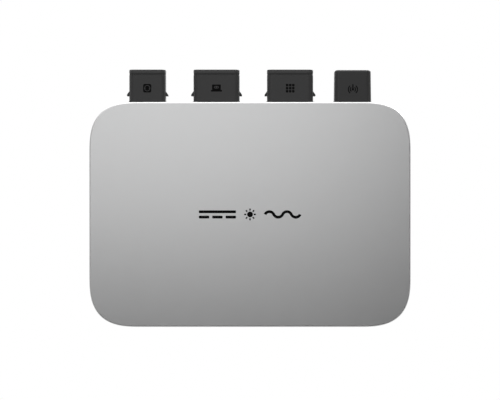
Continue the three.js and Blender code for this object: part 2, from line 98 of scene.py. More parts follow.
# %% [markdown]
# ## Working by hand, in code
#
# Every piece starts as a primitive at its real size and place. It is then shaped in edit mode, where an operator
# acts on whatever is selected. In a window the selection is made with the mouse. Here the faces and edges are
# picked by their place or direction, which works the same way every time.

# %% Selecting and settling
def alone(piece):
    """Selects this piece and nothing else."""
    bpy.ops.object.select_all(action="DESELECT")
    piece.select_set(True)
    bpy.context.view_layer.objects.active = piece


def settle(piece):
    """Moves the piece's place, turn and scale into its mesh, so that its object sits at the origin."""
    alone(piece)
    bpy.ops.object.transform_apply(location=True, rotation=True, scale=True)
    return piece


def pick(piece, kind, wanted):
    """Opens the piece in edit mode with only the faces or edges that wanted() accepts selected."""
    alone(piece)
    bpy.ops.object.mode_set(mode="EDIT")
    bpy.ops.mesh.select_mode(type=kind)
    bpy.ops.mesh.select_all(action="DESELECT")
    mesh = bmesh.from_edit_mesh(piece.data)
    mesh.normal_update()
    for element in mesh.faces if kind == "FACE" else mesh.edges:
        element.select_set(bool(wanted(element)))
    bmesh.update_edit_mesh(piece.data)


def leave_edit():
    bpy.ops.object.mode_set(mode="OBJECT")


def same(a, b):
    """Whether two lengths are equal, to within a hundredth of a millimetre."""
    return abs(a - b) < 0.01 * MM


def faces_at(axis, place):
    """Accepts the faces that are square to an axis (0, 1 or 2) and lie at that place on it."""
    return lambda face: abs(face.normal[axis]) > 0.99 and same(face.calc_center_median()[axis], place)


def edges_along(axis):
    """Accepts the edges that run along an axis."""
    return lambda edge: abs((edge.verts[1].co - edge.verts[0].co).normalized()[axis]) > 0.99


def edges_at(axis, place):
    """Accepts the edges where a flat face at that place turns into another direction."""
    turned = math.radians(20)
    return lambda edge: all(same(v.co[axis], place) for v in edge.verts) and edge.calc_face_angle(0) > turned


print("cover to shape:", [round(side / MM, 1) for side in cover_high - cover_low], "mm")


# %% [markdown]
# ## Primitives at their real size
#
# Three starting shapes cover the whole inverter: a block between two corners, the same block with its upright edges
# rounded, and a round rod. Each is only a start, and is bevelled, cut or extended afterwards.

# %% Block, rounded block and rod
def block(name, low, high):
    low, high = Vector(low), Vector(high)
    bpy.ops.object.select_all(action="DESELECT")
    bpy.ops.mesh.primitive_cube_add(size=1, location=(low + high) / 2, scale=high - low)
    piece = settle(bpy.context.active_object)
    piece.name = name
    piece.data.name = name
    return piece


def rounded_block(name, low, high, axis, radius, steps=8, squareness=2):
    """A block whose four edges along an axis are rounded. A squareness of 2 gives an arc, and more a fuller corner."""
    piece = block(name, low, high)
    pick(piece, "EDGE", edges_along(axis))
    bpy.ops.mesh.bevel(offset=radius, segments=steps, profile=2 ** (-2 / squareness), affect="EDGES")
    leave_edit()
    return piece


def rod(name, centre, radius, axis, start, end, sides=48):
    """A round rod through centre, from start to end along an axis."""
    middle = Vector(centre)
    middle[axis] = (start + end) / 2
    turn = {0: (0, math.radians(90), 0), 1: (math.radians(90), 0, 0), 2: (0, 0, 0)}[axis]
    bpy.ops.object.select_all(action="DESELECT")
    bpy.ops.mesh.primitive_cylinder_add(
        vertices=sides, radius=radius, depth=end - start, location=middle, rotation=turn
    )
    piece = settle(bpy.context.active_object)
    piece.name = name
    piece.data.name = name
    return piece


# %% [markdown]
# ## Cutting, joining and softening
#
# Holes and bosses come from the Boolean modifier, which works like a drill or a weld: one solid is taken out of
# another or fused to it. No real edge is razor sharp, so edges are bevelled. Then the shading is smoothed, but only
# where faces meet at a shallow angle, and the normals are weighted by face area so that the big flat faces stay flat.

# %% Modifiers that finish a mesh
OVERLAP = 0.3 * MM


def apply_modifier(piece, kind, **settings):
    alone(piece)
    bpy.ops.object.modifier_add(type=kind)
    modifier = piece.modifiers[-1]
    for key, value in settings.items():
        setattr(modifier, key, value)
    bpy.ops.object.modifier_apply(modifier=modifier.name)


def combine(piece, tool, how):
    apply_modifier(piece, "BOOLEAN", object=tool, operation=how, solver="EXACT")
    bpy.data.objects.remove(tool)
    return piece


def drill(piece, *tools):
    for tool in tools:
        combine(piece, tool, "DIFFERENCE")
    return piece


def weld(piece, *tools):
    for tool in tools:
        combine(piece, tool, "UNION")
    return piece


def bevel_edges(piece, wanted, width, steps=3):
    pick(piece, "EDGE", wanted)
    bpy.ops.mesh.bevel(offset=width, segments=steps, profile=0.5, affect="EDGES")
    leave_edit()
    return piece


def smooth(piece, angle=40):
    alone(piece)
    bpy.ops.object.shade_smooth_by_angle(angle=math.radians(angle))
    apply_modifier(piece, "WEIGHTED_NORMAL", keep_sharp=True)
    return piece


def join(name, pieces):
    """Makes one object of several, without fusing their surfaces."""
    bpy.ops.object.select_all(action="DESELECT")
    for piece in pieces:
        piece.select_set(True)
    bpy.context.view_layer.objects.active = pieces[0]
    bpy.ops.object.join()
    pieces[0].name = name
    pieces[0].data.name = name
    return pieces[0]


trial = bevel_edges(block("trial", (0, 0, 0), (1 * MM, 1 * MM, 1 * MM)), edges_along(2), 0.2 * MM, 3)
print("a millimetre cube with its upright edges bevelled has", len(trial.data.polygons), "faces")
bpy.data.objects.remove(trial)

# %% [markdown]
# ## Shared effects
#
# Several finishes need the same effects, so each effect is built once as a node group and placed in every material
# that shows it. Surface grain is two layers of noise: a fine one for the bump of a blasted or moulded surface, and a
# broad one for the slow changes of tone that no real surface is free of.

# %% Node helpers and the surface grain group
def new_group(name, inputs, outputs):
    """An empty shader node group with number inputs and outputs, and its two end nodes."""
    group = bpy.data.node_groups.new(name, "ShaderNodeTree")
    for label, default in inputs.items():
        socket = group.interface.new_socket(name=label, in_out="INPUT", socket_type="NodeSocketFloat")
        socket.default_value = default
    for label in outputs:
        group.interface.new_socket(name=label, in_out="OUTPUT", socket_type="NodeSocketFloat")
    return group, group.nodes.new("NodeGroupInput"), group.nodes.new("NodeGroupOutput")


def add(tree, kind, values=None, **settings):
    """Adds a node, with its properties and the values of its unlinked inputs."""
    node = tree.nodes.new(kind)
    for key, value in settings.items():
        setattr(node, key, value)
    for key, value in (values or {}).items():
        node.inputs[key].default_value = value
    return node


def wire(tree, *pairs):
    """Links each output socket to an input socket."""
    for source, target in pairs:
        tree.links.new(source, target)


grain_group, inlet, outlet = new_group("surface grain", {"Grains per metre": 3000}, ["Height", "Tone"])
place = add(grain_group, "ShaderNodeTexCoord")
fine = add(grain_group, "ShaderNodeTexNoise", {"Detail": 3, "Roughness": 0.65})
coarser = add(grain_group, "ShaderNodeMath", {1: 0.03}, operation="MULTIPLY")
broad = add(grain_group, "ShaderNodeTexNoise", {"Detail": 2, "Roughness": 0.5})
wire(
    grain_group,
    (place.outputs["Object"], fine.inputs["Vector"]),
    (place.outputs["Object"], broad.inputs["Vector"]),
    (inlet.outputs["Grains per metre"], fine.inputs["Scale"]),
    (inlet.outputs["Grains per metre"], coarser.inputs[0]),
    (coarser.outputs[0], broad.inputs["Scale"]),
    (fine.outputs["Fac"], outlet.inputs["Height"]),
    (broad.outputs["Fac"], outlet.inputs["Tone"]),
)
print("surface grain group has", len(grain_group.nodes), "nodes")

# %% [markdown]
# Edges of a real part are handled first and last. Metal gets a little brighter there, partly from wear and partly as a
# painted highlight, and plastic gets darker there, which is painted shade on its rounded edges. The Bevel node gives a
# rounded normal near an edge. Where it differs from the true normal there is an edge, and some noise breaks the line
# up so that it isn't even.

# %% The edge group: wear and painted light
edge_wear_and_painted_light_group, inlet, outlet = new_group("edge wear", {"Width": 0.0004, "Amount": 0.5}, ["Mask"])
rounded = add(edge_wear_and_painted_light_group, "ShaderNodeBevel", samples=4)
actual = add(edge_wear_and_painted_light_group, "ShaderNodeNewGeometry")
alike = add(edge_wear_and_painted_light_group, "ShaderNodeVectorMath", operation="DOT_PRODUCT")
unlike = add(edge_wear_and_painted_light_group, "ShaderNodeMapRange", {"From Min": 0.995, "From Max": 0.85, "To Min": 0, "To Max": 1})
place = add(edge_wear_and_painted_light_group, "ShaderNodeTexCoord")
patches = add(edge_wear_and_painted_light_group, "ShaderNodeTexNoise", {"Scale": 260, "Detail": 4, "Roughness": 0.7})
broken = add(edge_wear_and_painted_light_group, "ShaderNodeMapRange", {"From Min": 0.35, "From Max": 0.7, "To Min": 0.25, "To Max": 1})
uneven = add(edge_wear_and_painted_light_group, "ShaderNodeMath", operation="MULTIPLY")
scaled = add(edge_wear_and_painted_light_group, "ShaderNodeMath", operation="MULTIPLY", use_clamp=True)
wire(
    edge_wear_and_painted_light_group,
    (inlet.outputs["Width"], rounded.inputs["Radius"]),
    (rounded.outputs["Normal"], alike.inputs[0]),
    (actual.outputs["Normal"], alike.inputs[1]),
    (alike.outputs["Value"], unlike.inputs["Value"]),
    (place.outputs["Object"], patches.inputs["Vector"]),
    (patches.outputs["Fac"], broken.inputs["Value"]),
    (unlike.outputs["Result"], uneven.inputs[0]),
    (broken.outputs["Result"], uneven.inputs[1]),
    (uneven.outputs[0], scaled.inputs[0]),
    (inlet.outputs["Amount"], scaled.inputs[1]),
    (scaled.outputs[0], outlet.inputs["Mask"]),
)
print("edge wear group has", len(edge_wear_and_painted_light_group.nodes), "nodes")

# %% [markdown]
# Dust settles on faces that look up. The group compares the surface's normal with straight up and lets noise thin
# the layer out. The inverter is nearly new, so only a trace of it is used.

# %% The dust group
dust_group, inlet, outlet = new_group("dust", {"Amount": 0.1}, ["Mask"])
actual = add(dust_group, "ShaderNodeNewGeometry")
upright = add(dust_group, "ShaderNodeSeparateXYZ")
facing_up = add(dust_group, "ShaderNodeMapRange", {"From Min": 0.3, "From Max": 1.0, "To Min": 0, "To Max": 1})
place = add(dust_group, "ShaderNodeTexCoord")
clouds = add(dust_group, "ShaderNodeTexNoise", {"Scale": 90, "Detail": 6, "Roughness": 0.75})
thinned = add(dust_group, "ShaderNodeMath", operation="MULTIPLY")
scaled = add(dust_group, "ShaderNodeMath", operation="MULTIPLY", use_clamp=True)
wire(
    dust_group,
    (actual.outputs["Normal"], upright.inputs[0]),
    (upright.outputs["Z"], facing_up.inputs["Value"]),
    (place.outputs["Object"], clouds.inputs["Vector"]),
    (facing_up.outputs["Result"], thinned.inputs[0]),
    (clouds.outputs["Fac"], thinned.inputs[1]),
    (thinned.outputs[0], scaled.inputs[0]),
    (inlet.outputs["Amount"], scaled.inputs[1]),
    (scaled.outputs[0], outlet.inputs["Mask"]),
)
print("dust group has", len(dust_group.nodes), "nodes")

# %% [markdown]
# ## Finishes
#
# All finishes share one recipe: a base colour that drifts slightly, a roughness that drifts with it, a fine bump, an
# edge colour that is partly wear and partly painted light, and a trace of dust. What makes one of them aluminium and
# another moulded plastic is their values. The shader itself stays in each material, with every value that is the same
# all over set on it.

# %% The recipe for a finish
DUST = (0.42, 0.41, 0.39, 1)
COAT_ROUGHNESS = 0.12
SMOOTHEST = 0.02


def blend_colour(tree, factor, first, second, how="MIX"):
    """A colour mix. Each of the three may be a value or a socket."""
    mix = add(tree, "ShaderNodeMix", data_type="RGBA", blend_type=how)
    for index, part in ((0, factor), (6, first), (7, second)):
        if isinstance(part, bpy.types.NodeSocket):
            tree.links.new(part, mix.inputs[index])
        else:
            mix.inputs[index].default_value = part
    return mix.outputs[2]


def finish(
    name, colour, roughness, metallic=0.0, grains=3000, depth=0.02, drift=0.08, edge=None, edge_amount=0.0,
    edge_width=0.3, dust=0.05, specular=0.5, coat=0.0,
):
    """A material. Colours are linear, and depth and edge_width are in millimetres."""
    material = bpy.data.materials.new(name)
    material.use_nodes = True
    tree = material.node_tree
    shader = tree.nodes["Principled BSDF"]
    shader.inputs["Metallic"].default_value = metallic
    shader.inputs["Specular IOR Level"].default_value = specular
    shader.inputs["Coat Weight"].default_value = coat
    shader.inputs["Coat Roughness"].default_value = COAT_ROUGHNESS
    grain = add(tree, "ShaderNodeGroup", node_tree=grain_group)
    grain.inputs["Grains per metre"].default_value = grains
    bump = add(tree, "ShaderNodeBump", {"Strength": 0.6, "Distance": depth * MM})
    dark = (*[c * (1 - drift) for c in colour], 1)
    light = (*[min(1, c * (1 + drift)) for c in colour], 1)
    shade = blend_colour(tree, grain.outputs["Tone"], dark, light)
    # The edge colour is painted light: shade on plastic, and on metal partly wear and partly a painted highlight.
    if edge:
        wear_and_painted_light = add(tree, "ShaderNodeGroup", node_tree=edge_wear_and_painted_light_group)
        wear_and_painted_light.inputs["Width"].default_value = edge_width * MM
        wear_and_painted_light.inputs["Amount"].default_value = edge_amount
        shade = blend_colour(tree, wear_and_painted_light.outputs["Mask"], shade, (*edge, 1))
    settled = add(tree, "ShaderNodeGroup", node_tree=dust_group)
    settled.inputs["Amount"].default_value = dust
    shade = blend_colour(tree, settled.outputs["Mask"], shade, DUST)
    spread = {"To Min": max(SMOOTHEST, roughness - drift), "To Max": min(1, roughness + drift)}
    rough = add(tree, "ShaderNodeMapRange", spread)
    wire(
        tree,
        (shade, shader.inputs["Base Color"]),
        (grain.outputs["Tone"], rough.inputs["Value"]),
        (rough.outputs["Result"], shader.inputs["Roughness"]),
        (grain.outputs["Height"], bump.inputs["Height"]),
        (bump.outputs["Normal"], shader.inputs["Normal"]),
    )
    return material


print("every finish has dust of colour", DUST[:3])

# %% [markdown]
# ### Metals
#
# The front cover is bead-blasted and clear anodised: thousands of tiny dents give it an even satin look, without
# direction. Its front edge is cut again and a little brighter, and its lighter colour is also a painted highlight
# along that round. The heat sink is die cast, so it is greyer and coarser. Screws are plain steel and contacts brass.

# %% Metal finishes
# The cover's lighter edge colour is partly wear and partly a painted highlight on its front round.
blasted_aluminium = finish(
    "blasted aluminium", (0.60, 0.602, 0.604), 0.377, metallic=1.0, grains=2600, depth=0.012, drift=0.012,
    edge=(0.86, 0.86, 0.86), edge_amount=0.55, edge_width=0.35, dust=0.0,
)
bright_edge_painted_highlight = finish(
    "bright aluminium edge and painted highlight", (0.68, 0.68, 0.68), 0.36, metallic=1.0, grains=2600, depth=0.006, drift=0.012, dust=0.0,
)
cast_aluminium = finish(
    "cast aluminium", (0.40, 0.404, 0.41), 0.55, metallic=1.0, grains=1500, depth=0.05, drift=0.10,
    edge=(0.66, 0.66, 0.66), edge_amount=0.5, edge_width=0.3, dust=0.06,
)
screw_steel = finish(
    "screw steel", (0.50, 0.51, 0.52), 0.32, metallic=1.0, grains=5000, depth=0.01, drift=0.08,
    edge=(0.75, 0.75, 0.75), edge_amount=0.4, edge_width=0.15, dust=0.03,
)
contact_brass = finish(
    "contact brass", (0.72, 0.52, 0.20), 0.22, metallic=1.0, grains=6000, depth=0.006, drift=0.06, dust=0.0,
)
tinned_shield = finish(
    "tinned shield", (0.62, 0.62, 0.60), 0.38, metallic=1.0, grains=1800, depth=0.01, drift=0.1, dust=0.0,
)
print("metals:", blasted_aluminium.name, bright_edge_painted_highlight.name, cast_aluminium.name, screw_steel.name)

# %% [markdown]
# ### Plastics and rubbers
#
# The ports and the antenna block are moulded in black glass-filled plastic. The mould is spark eroded, which leaves
# a fine even texture that scatters light, so the black is really a dark grey. Printed symbols are much blacker and
# hardly shine. Rubber is duller still.

# %% Plastic and rubber finishes
# The plastics' darker edge colour is painted shade on their rounded edges, where they turn away from the light.
PAINTED_PLASTIC_EDGE_SHADE = (0.010, 0.010, 0.0104)
black_plastic = finish(
    "moulded black plastic", (0.0300, 0.0300, 0.0303), 0.52, grains=2400, depth=0.03, drift=0.06,
    edge=PAINTED_PLASTIC_EDGE_SHADE, edge_amount=0.8, edge_width=1.5, dust=0.01, specular=0.3,
)
cap_plastic = finish(
    "cap plastic", (0.040, 0.040, 0.0404), 0.50, grains=2400, depth=0.03, drift=0.10,
    edge=PAINTED_PLASTIC_EDGE_SHADE, edge_amount=0.3, edge_width=0.5, dust=0.01, specular=0.3,
)
antenna_plastic = finish(
    "antenna plastic", (0.0245, 0.0245, 0.0248), 0.52, grains=2400, depth=0.03, drift=0.06,
    edge=PAINTED_PLASTIC_EDGE_SHADE, edge_amount=0.8, edge_width=1.5, dust=0.01, specular=0.3,
)
cap_rubber = finish("cap seal rubber", (0.031, 0.031, 0.031), 0.75, grains=1800, depth=0.02, dust=0.0, specular=0.2)
printed_ink = finish(
    "printed black ink", (0.0018, 0.0018, 0.0018), 0.5, depth=0.002, drift=0.02, dust=0.0, specular=0.05,
)
seal_rubber = finish("seal rubber", (0.009, 0.009, 0.009), 0.72, grains=1800, depth=0.02, dust=0.03)
button_rubber = finish("button rubber", (0.016, 0.016, 0.0165), 0.62, grains=2200, depth=0.02, dust=0.03)
cable_jacket = finish("cable jacket", (0.010, 0.010, 0.010), 0.45, grains=3000, depth=0.01, dust=0.0)
grey_silicone = finish("grey silicone", (0.09, 0.092, 0.096), 0.6, grains=1500, depth=0.02, dust=0.0)
potting_resin = finish("potting resin", (0.07, 0.073, 0.078), 0.42, grains=300, depth=0.05, drift=0.12, dust=0.0)
relay_plastic = finish("relay plastic", (0.012, 0.022, 0.060), 0.42, grains=2000, depth=0.02, dust=0.0)
ferrite = finish("ferrite", (0.035, 0.037, 0.042), 0.60, grains=1200, depth=0.04, drift=0.15, dust=0.0)
print("plastics:", black_plastic.name, cap_plastic.name, printed_ink.name)

# %% [markdown]
# ### Finishes with a pattern
#
# A few pieces have more than grain. A circuit board is a green lacquer over copper tracks. The tracks could be
# modelled, but they are only a few hundredths of a millimetre high, so a brick texture laid along the board gives
# them their colour and a slight bump.

# %% Circuit board
def patterned(name, roughness, specular=0.5):
    """A material with its tree, shader and the object's coordinates, ready for a pattern."""
    material = bpy.data.materials.new(name)
    material.use_nodes = True
    tree = material.node_tree
    shader = tree.nodes["Principled BSDF"]
    shader.inputs["Roughness"].default_value = roughness
    shader.inputs["Specular IOR Level"].default_value = specular
    return material, tree, shader, add(tree, "ShaderNodeTexCoord").outputs["Object"]


circuit_board, tree, shader, where = patterned("circuit board", 0.32)
tracks = add(tree, "ShaderNodeTexBrick", {"Scale": 90, "Mortar Size": 0.012, "Mortar Smooth": 0.2, "Bias": 0})
tracks.inputs["Color1"].default_value = (0.010, 0.085, 0.035, 1)
tracks.inputs["Color2"].default_value = (0.014, 0.110, 0.045, 1)
tracks.inputs["Mortar"].default_value = (0.030, 0.200, 0.080, 1)
flattened = add(tree, "ShaderNodeMapping", {"Rotation": (math.radians(90), 0, 0)})
raised = add(tree, "ShaderNodeBump", {"Strength": 0.5, "Distance": 0.03 * MM})
wire(
    tree,
    (where, flattened.inputs["Vector"]),
    (flattened.outputs["Vector"], tracks.inputs["Vector"]),
    (tracks.outputs["Color"], shader.inputs["Base Color"]),
    (tracks.outputs["Fac"], raised.inputs["Height"]),
    (raised.outputs["Normal"], shader.inputs["Normal"]),
)
print("circuit board has", len(tree.nodes), "nodes")

# %% [markdown]
# A transformer's coil is wrapped in yellow tape in level turns, and a capacitor's sleeve has a pale stripe that
# marks its negative side. Both are thin layers on a simple shape. The bands of a wave texture make the turns, and a
# comparison with one place on the object's own Y axis makes the stripe, so neither needs an image.

# %% Winding tape and capacitor sleeve
winding_tape, tree, shader, where = patterned("winding tape", 0.30)
turns = add(tree, "ShaderNodeTexWave", {"Scale": 95, "Distortion": 0.4, "Detail": 1}, bands_direction="Z")
overlap = add(tree, "ShaderNodeBump", {"Strength": 0.7, "Distance": 0.06 * MM})
tape_shade = blend_colour(tree, turns.outputs["Fac"], (0.42, 0.27, 0.02, 1), (0.62, 0.44, 0.05, 1))
wire(
    tree,
    (where, turns.inputs["Vector"]),
    (turns.outputs["Fac"], overlap.inputs["Height"]),
    (tape_shade, shader.inputs["Base Color"]),
    (overlap.outputs["Normal"], shader.inputs["Normal"]),
)
capacitor_sleeve, tree, shader, where = patterned("capacitor sleeve", 0.28)
parts = add(tree, "ShaderNodeSeparateXYZ")
STRIPE_PLACE = -24.5 * MM
stripe = add(tree, "ShaderNodeMath", {1: STRIPE_PLACE}, operation="LESS_THAN")
sleeve_shade = blend_colour(tree, stripe.outputs[0], (0.010, 0.011, 0.018, 1), (0.35, 0.36, 0.36, 1))
wrinkles = add(tree, "ShaderNodeTexNoise", {"Scale": 400, "Detail": 2})
shrunk = add(tree, "ShaderNodeBump", {"Strength": 0.4, "Distance": 0.05 * MM})
wire(
    tree,
    (where, parts.inputs[0]),
    (parts.outputs["Y"], stripe.inputs[0]),
    (sleeve_shade, shader.inputs["Base Color"]),
    (where, wrinkles.inputs["Vector"]),
    (wrinkles.outputs["Fac"], shrunk.inputs["Height"]),
    (shrunk.outputs["Normal"], shader.inputs["Normal"]),
)
print("made", winding_tape.name, "and", capacitor_sleeve.name)

# %% [markdown]
# The status light pipe is clear plastic with a frosted end, and glows faintly from the light below it. True clear
# plastic would show only the dark inside of the housing, so a milky surface with a little light of its own is used.

# %% Light pipe
light_pipe, tree, shader, where = patterned("light pipe", 0.22)
frost = add(tree, "ShaderNodeTexNoise", {"Scale": 1500, "Detail": 2})
milky = blend_colour(tree, frost.outputs["Fac"], (0.62, 0.66, 0.68, 1), (0.78, 0.81, 0.82, 1))
GLOW_COLOUR = (0.35, 0.9, 0.45, 1)
GLOW = 0.15
shader.inputs["Emission Color"].default_value = GLOW_COLOUR
shader.inputs["Emission Strength"].default_value = GLOW
shader.inputs["Coat Weight"].default_value = 0.5
frosted = add(tree, "ShaderNodeBump", {"Strength": 0.3, "Distance": 0.01 * MM})
wire(
    tree,
    (where, frost.inputs["Vector"]),
    (milky, shader.inputs["Base Color"]),
    (frost.outputs["Fac"], frosted.inputs["Height"]),
    (frosted.outputs["Normal"], shader.inputs["Normal"]),
)
print("made", light_pipe.name)

# %% [markdown]
# ## Handing a piece over
#
# A finished piece gets its material, rides on the body that it moves with, and stands for the plain solids that it
# replaces.

# %% Hand over
made = []


def hand_over(piece, material, slot, body, *replaced):
    """Gives a finished piece its material, unless it has its own already, and says what it is and rides on."""
    if material:
        piece.data.materials.clear()
        piece.data.materials.append(material)
    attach(piece, body)
    if replaced:
        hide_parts(*replaced)
    made.append(piece.name)
    print(f"{piece.name}: {len(piece.data.polygons)} faces, rides on {body}")
    return piece


# %% [markdown]
# ## Front cover
#
# The cover is one shell: a flat front panel and a side wall that runs all round. Its corners aren't arcs. They
# follow a superellipse, which starts to curve gently and so looks softer than an arc of the same reach. The Bevel
# operator's profile value can make exactly that curve. The front edge then gets a small round, the back is hollowed
# out by an inset and an extrude, and the ports' openings are cut through the top wall.

# %% Cover shell
CORNER = 39 * MM
SQUARENESS = 2.9
FRONT_ROUND = 1.2 * MM
SIDE_WALL = 3 * MM
PANEL = 2 * MM
BACK_ROUND = 0.35 * MM


def housing_slab(name, back, front, inset=0):
    """A slab with the housing's outline, moved in by inset, between two places on Y."""
    low = Vector((cover_low.x + inset, front, cover_low.z + inset))
    high = Vector((cover_high.x - inset, back, cover_high.z - inset))
    return rounded_block(name, low, high, 1, CORNER - inset, steps=28, squareness=SQUARENESS)


cover = housing_slab("front_cover_shell", cover_high.y, cover_low.y)
bevel_edges(cover, edges_at(1, cover_low.y), FRONT_ROUND, 6)
bevel_edges(cover, edges_at(1, cover_high.y), BACK_ROUND, 2)
pick(cover, "FACE", faces_at(1, cover_high.y))
bpy.ops.mesh.inset(thickness=SIDE_WALL - BACK_ROUND, use_even_offset=True)
depth = cover_high.y - cover_low.y - PANEL
bpy.ops.mesh.extrude_region_move(TRANSFORM_OT_translate={"value": (0, -depth, 0)})
leave_edit()
print(f"cover shell {1000 * depth:.1f} mm deep inside")

# %% [markdown]
# Inside, a thick bar along the top gives the ports' flanges a flat seat, and a column stands behind each screw. They
# are welded to the shell before anything is drilled.

# %% Cover seat and screw columns
SCREWS = [f"cover_screw_{i}" for i in range(1, 9)]
SEAT_HEIGHT = 4 * MM
SEAT_REACH = 98 * MM
IN_PANEL = 0.5 * MM
COLUMN = 4 * MM
NARROW_COLUMN = 2.9 * MM
in_panel = cover_low.y + PANEL - IN_PANEL
seat = block(
    "seat",
    (-SEAT_REACH, in_panel, cover_high.z - SEAT_HEIGHT),
    (SEAT_REACH, cover_high.y, cover_high.z - 2.2 * MM),
)
weld(cover, seat)
for name in SCREWS:
    low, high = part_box(name)
    radius = NARROW_COLUMN if 50 * MM < low.x < 60 * MM else COLUMN
    weld(cover, rod("column", (low + high) / 2, radius, 1, in_panel, cover_high.y - 0.02 * MM))
    drill(cover, rod("pilot", (low + high) / 2, 1.6 * MM, 1, low.y - 1 * MM, cover_high.y + 1 * MM, 24))
print("cover has", len(cover.data.polygons), "faces with its columns")

# %% [markdown]
# Everything that comes up through the top wall has an opening with its own outline, a little wider all round. It
# could be inset in the top face, but the seat is welded under that wall, so one tool cuts through both. The outlines
# come from the engineering model's boxes.

# %% Openings for the ports, button and light
PORTS = ["grid", "battery", "solar"]
PORT_CORNER = 4 * MM
CLEARANCE = 0.3 * MM
antenna_low, antenna_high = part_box("antenna_radome")
EAR = 4.5 * MM
FLANGE_OVERHANG = 1.1 * MM


def port_outline(port):
    """The lowest and highest corner of a port's upright part, seen from above."""
    if port == "antenna":
        inset = Vector((EAR, FLANGE_OVERHANG, 0))
        return antenna_low + inset, antenna_high - inset
    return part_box(f"{port}_port_cap")


def widened(low, high, by, bottom, top):
    """The same outline moved out by a distance, between two heights."""
    return Vector((low.x - by, low.y - by, bottom)), Vector((high.x + by, high.y + by, top))


above_wall = cover_high.z + 2 * MM
below_seat = cover_high.z - SEAT_HEIGHT - 1 * MM
for port in [*PORTS, "antenna"]:
    corners = widened(*port_outline(port), CLEARANCE, below_seat, above_wall)
    drill(cover, rounded_block("opening", *corners, 2, PORT_CORNER + CLEARANCE))
button_low, button_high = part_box("pairing_button")
button_centre = (button_low + button_high) / 2
light_low, light_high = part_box("status_light_pipe")
PIPE_COLLAR = 0.8 * MM
BUTTON_HOLE = 3.05 * MM
drill(cover, rod("button hole", button_centre, BUTTON_HOLE, 2, below_seat, above_wall))
corners = widened(light_low, light_high, CLEARANCE - PIPE_COLLAR, below_seat, above_wall)
pipe_hole_radius = (corners[1].x - corners[0].x) / 2 - 0.01 * MM
drill(cover, rounded_block("light hole", *corners, 2, pipe_hole_radius))
smooth(cover)
print("openings cut:", len(PORTS) + 3)

# %% [markdown]
# The round along the front edge is cut again after blasting, which leaves it a little brighter than the panel, and its
# lighter colour is also a painted highlight along that round. It could be a piece of its own, but a second material on
# the same mesh keeps the surface whole. The faces that get it are found by their place and direction.

# %% Bright front edge
cover.data.materials.clear()
cover.data.materials.append(blasted_aluminium)
cover.data.materials.append(bright_edge_painted_highlight)
for face in cover.data.polygons:
    in_round = face.center.y < cover_low.y + FRONT_ROUND
    face.material_index = 1 if in_round and abs(face.normal.y) < 0.995 else 0
hand_over(cover, None, "front_aluminium", "housing", "front_cover")

# %% [markdown]
# ## Heat sink
#
# The back is one casting: a plate with the housing's outline, upright fins that let air rise between them, a flat
# pad for the bracket, four threaded bosses and a raised pad for the earth screw. A fin narrows towards its tip and
# slopes at its ends, because it has to come out of the mould. Fins stop short of the pad and the bosses.

# %% Plate
PLATE_BACK = -5 * MM
PLATE_FRONT = -7.5 * MM
sink = housing_slab("heat_sink", PLATE_BACK, PLATE_FRONT)
bevel_edges(sink, edges_at(1, PLATE_BACK), 0.8 * MM, 4)
bevel_edges(sink, edges_at(1, PLATE_FRONT), 0.25 * MM, 2)
print("plate of", len(sink.data.polygons), "faces")

# %% [markdown]
# A fin starts as a tall thin block. Its outer face is then made smaller, which slopes the sides and the ends at once,
# and its tip is rounded. The Array modifier could repeat one fin, but each is as long as the rounded outline of the
# plate allows at its place, so each is made at its own length.

# %% Fins
FIN_TIP = -0.8 * MM
FIN_PITCH = 9 * MM
FIN_THICK = 2.4 * MM
FIN_COUNT = 23
FIN_MARGIN = 14 * MM
FIN_ROUND = 0.45 * MM
END_SLOPE = 2 * MM
TIP_SHARE = 0.75


def half_height_at(x):
    """Half the housing's height at a distance from its middle, on its superellipse corner."""
    into = abs(x) - (cover_high.x - CORNER)
    if into <= 0:
        return cover_high.z
    return cover_high.z - CORNER + CORNER * (1 - (into / CORNER) ** SQUARENESS) ** (1 / SQUARENESS)


def fin(x):
    reach = half_height_at(x) - FIN_MARGIN
    low = (x - FIN_THICK / 2, PLATE_BACK - OVERLAP, -reach)
    piece = block("fin", low, (x + FIN_THICK / 2, FIN_TIP, reach))
    pick(piece, "FACE", faces_at(1, FIN_TIP))
    slope = (TIP_SHARE, 1, (reach - END_SLOPE) / reach)
    bpy.ops.transform.resize(value=slope, center_override=(x, FIN_TIP, 0))
    leave_edit()
    return bevel_edges(piece, edges_at(1, FIN_TIP), FIN_ROUND, 3)


first = -(FIN_COUNT - 1) / 2 * FIN_PITCH
fins = join("fins", [fin(first + i * FIN_PITCH) for i in range(FIN_COUNT)])
print("fins:", FIN_COUNT)

# %% [markdown]
# A bracket and a spanner need room, so the fins stop short of the pad, the bosses and the vent. Each fin could be cut
# by hand. It is quicker to clear the room from all of them together, while they are still apart from the plate.

# %% Room round the pad, bosses and vent
PAD = Vector((28 * MM, 0, 20 * MM))
BOSS_X = 84 * MM
BOSS_Z = 50 * MM
BOSSES = [(x, z) for x in (-BOSS_X, BOSS_X) for z in (-BOSS_Z, BOSS_Z)]
vent_low, vent_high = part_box("vent_plug")
vent_centre = (vent_low + vent_high) / 2
BOSS_ROOM = 10 * MM
VENT_ROOM = 9 * MM
in_front = PLATE_BACK - 1 * MM
behind = 1 * MM
drill(fins, *[rod("room", (x, 0, z), BOSS_ROOM, 1, in_front, behind) for x, z in BOSSES])
drill(fins, rod("vent room", vent_centre, VENT_ROOM, 1, in_front, behind))
room = Vector((3 * MM, 0, 3 * MM))
pad_low, pad_high = -PAD - room, PAD + room
pad_low.y, pad_high.y = in_front, behind
drill(fins, rounded_block("pad room", pad_low, pad_high, 1, 6 * MM))
weld(sink, fins)
print("heat sink has", len(sink.data.polygons), "faces with its fins")

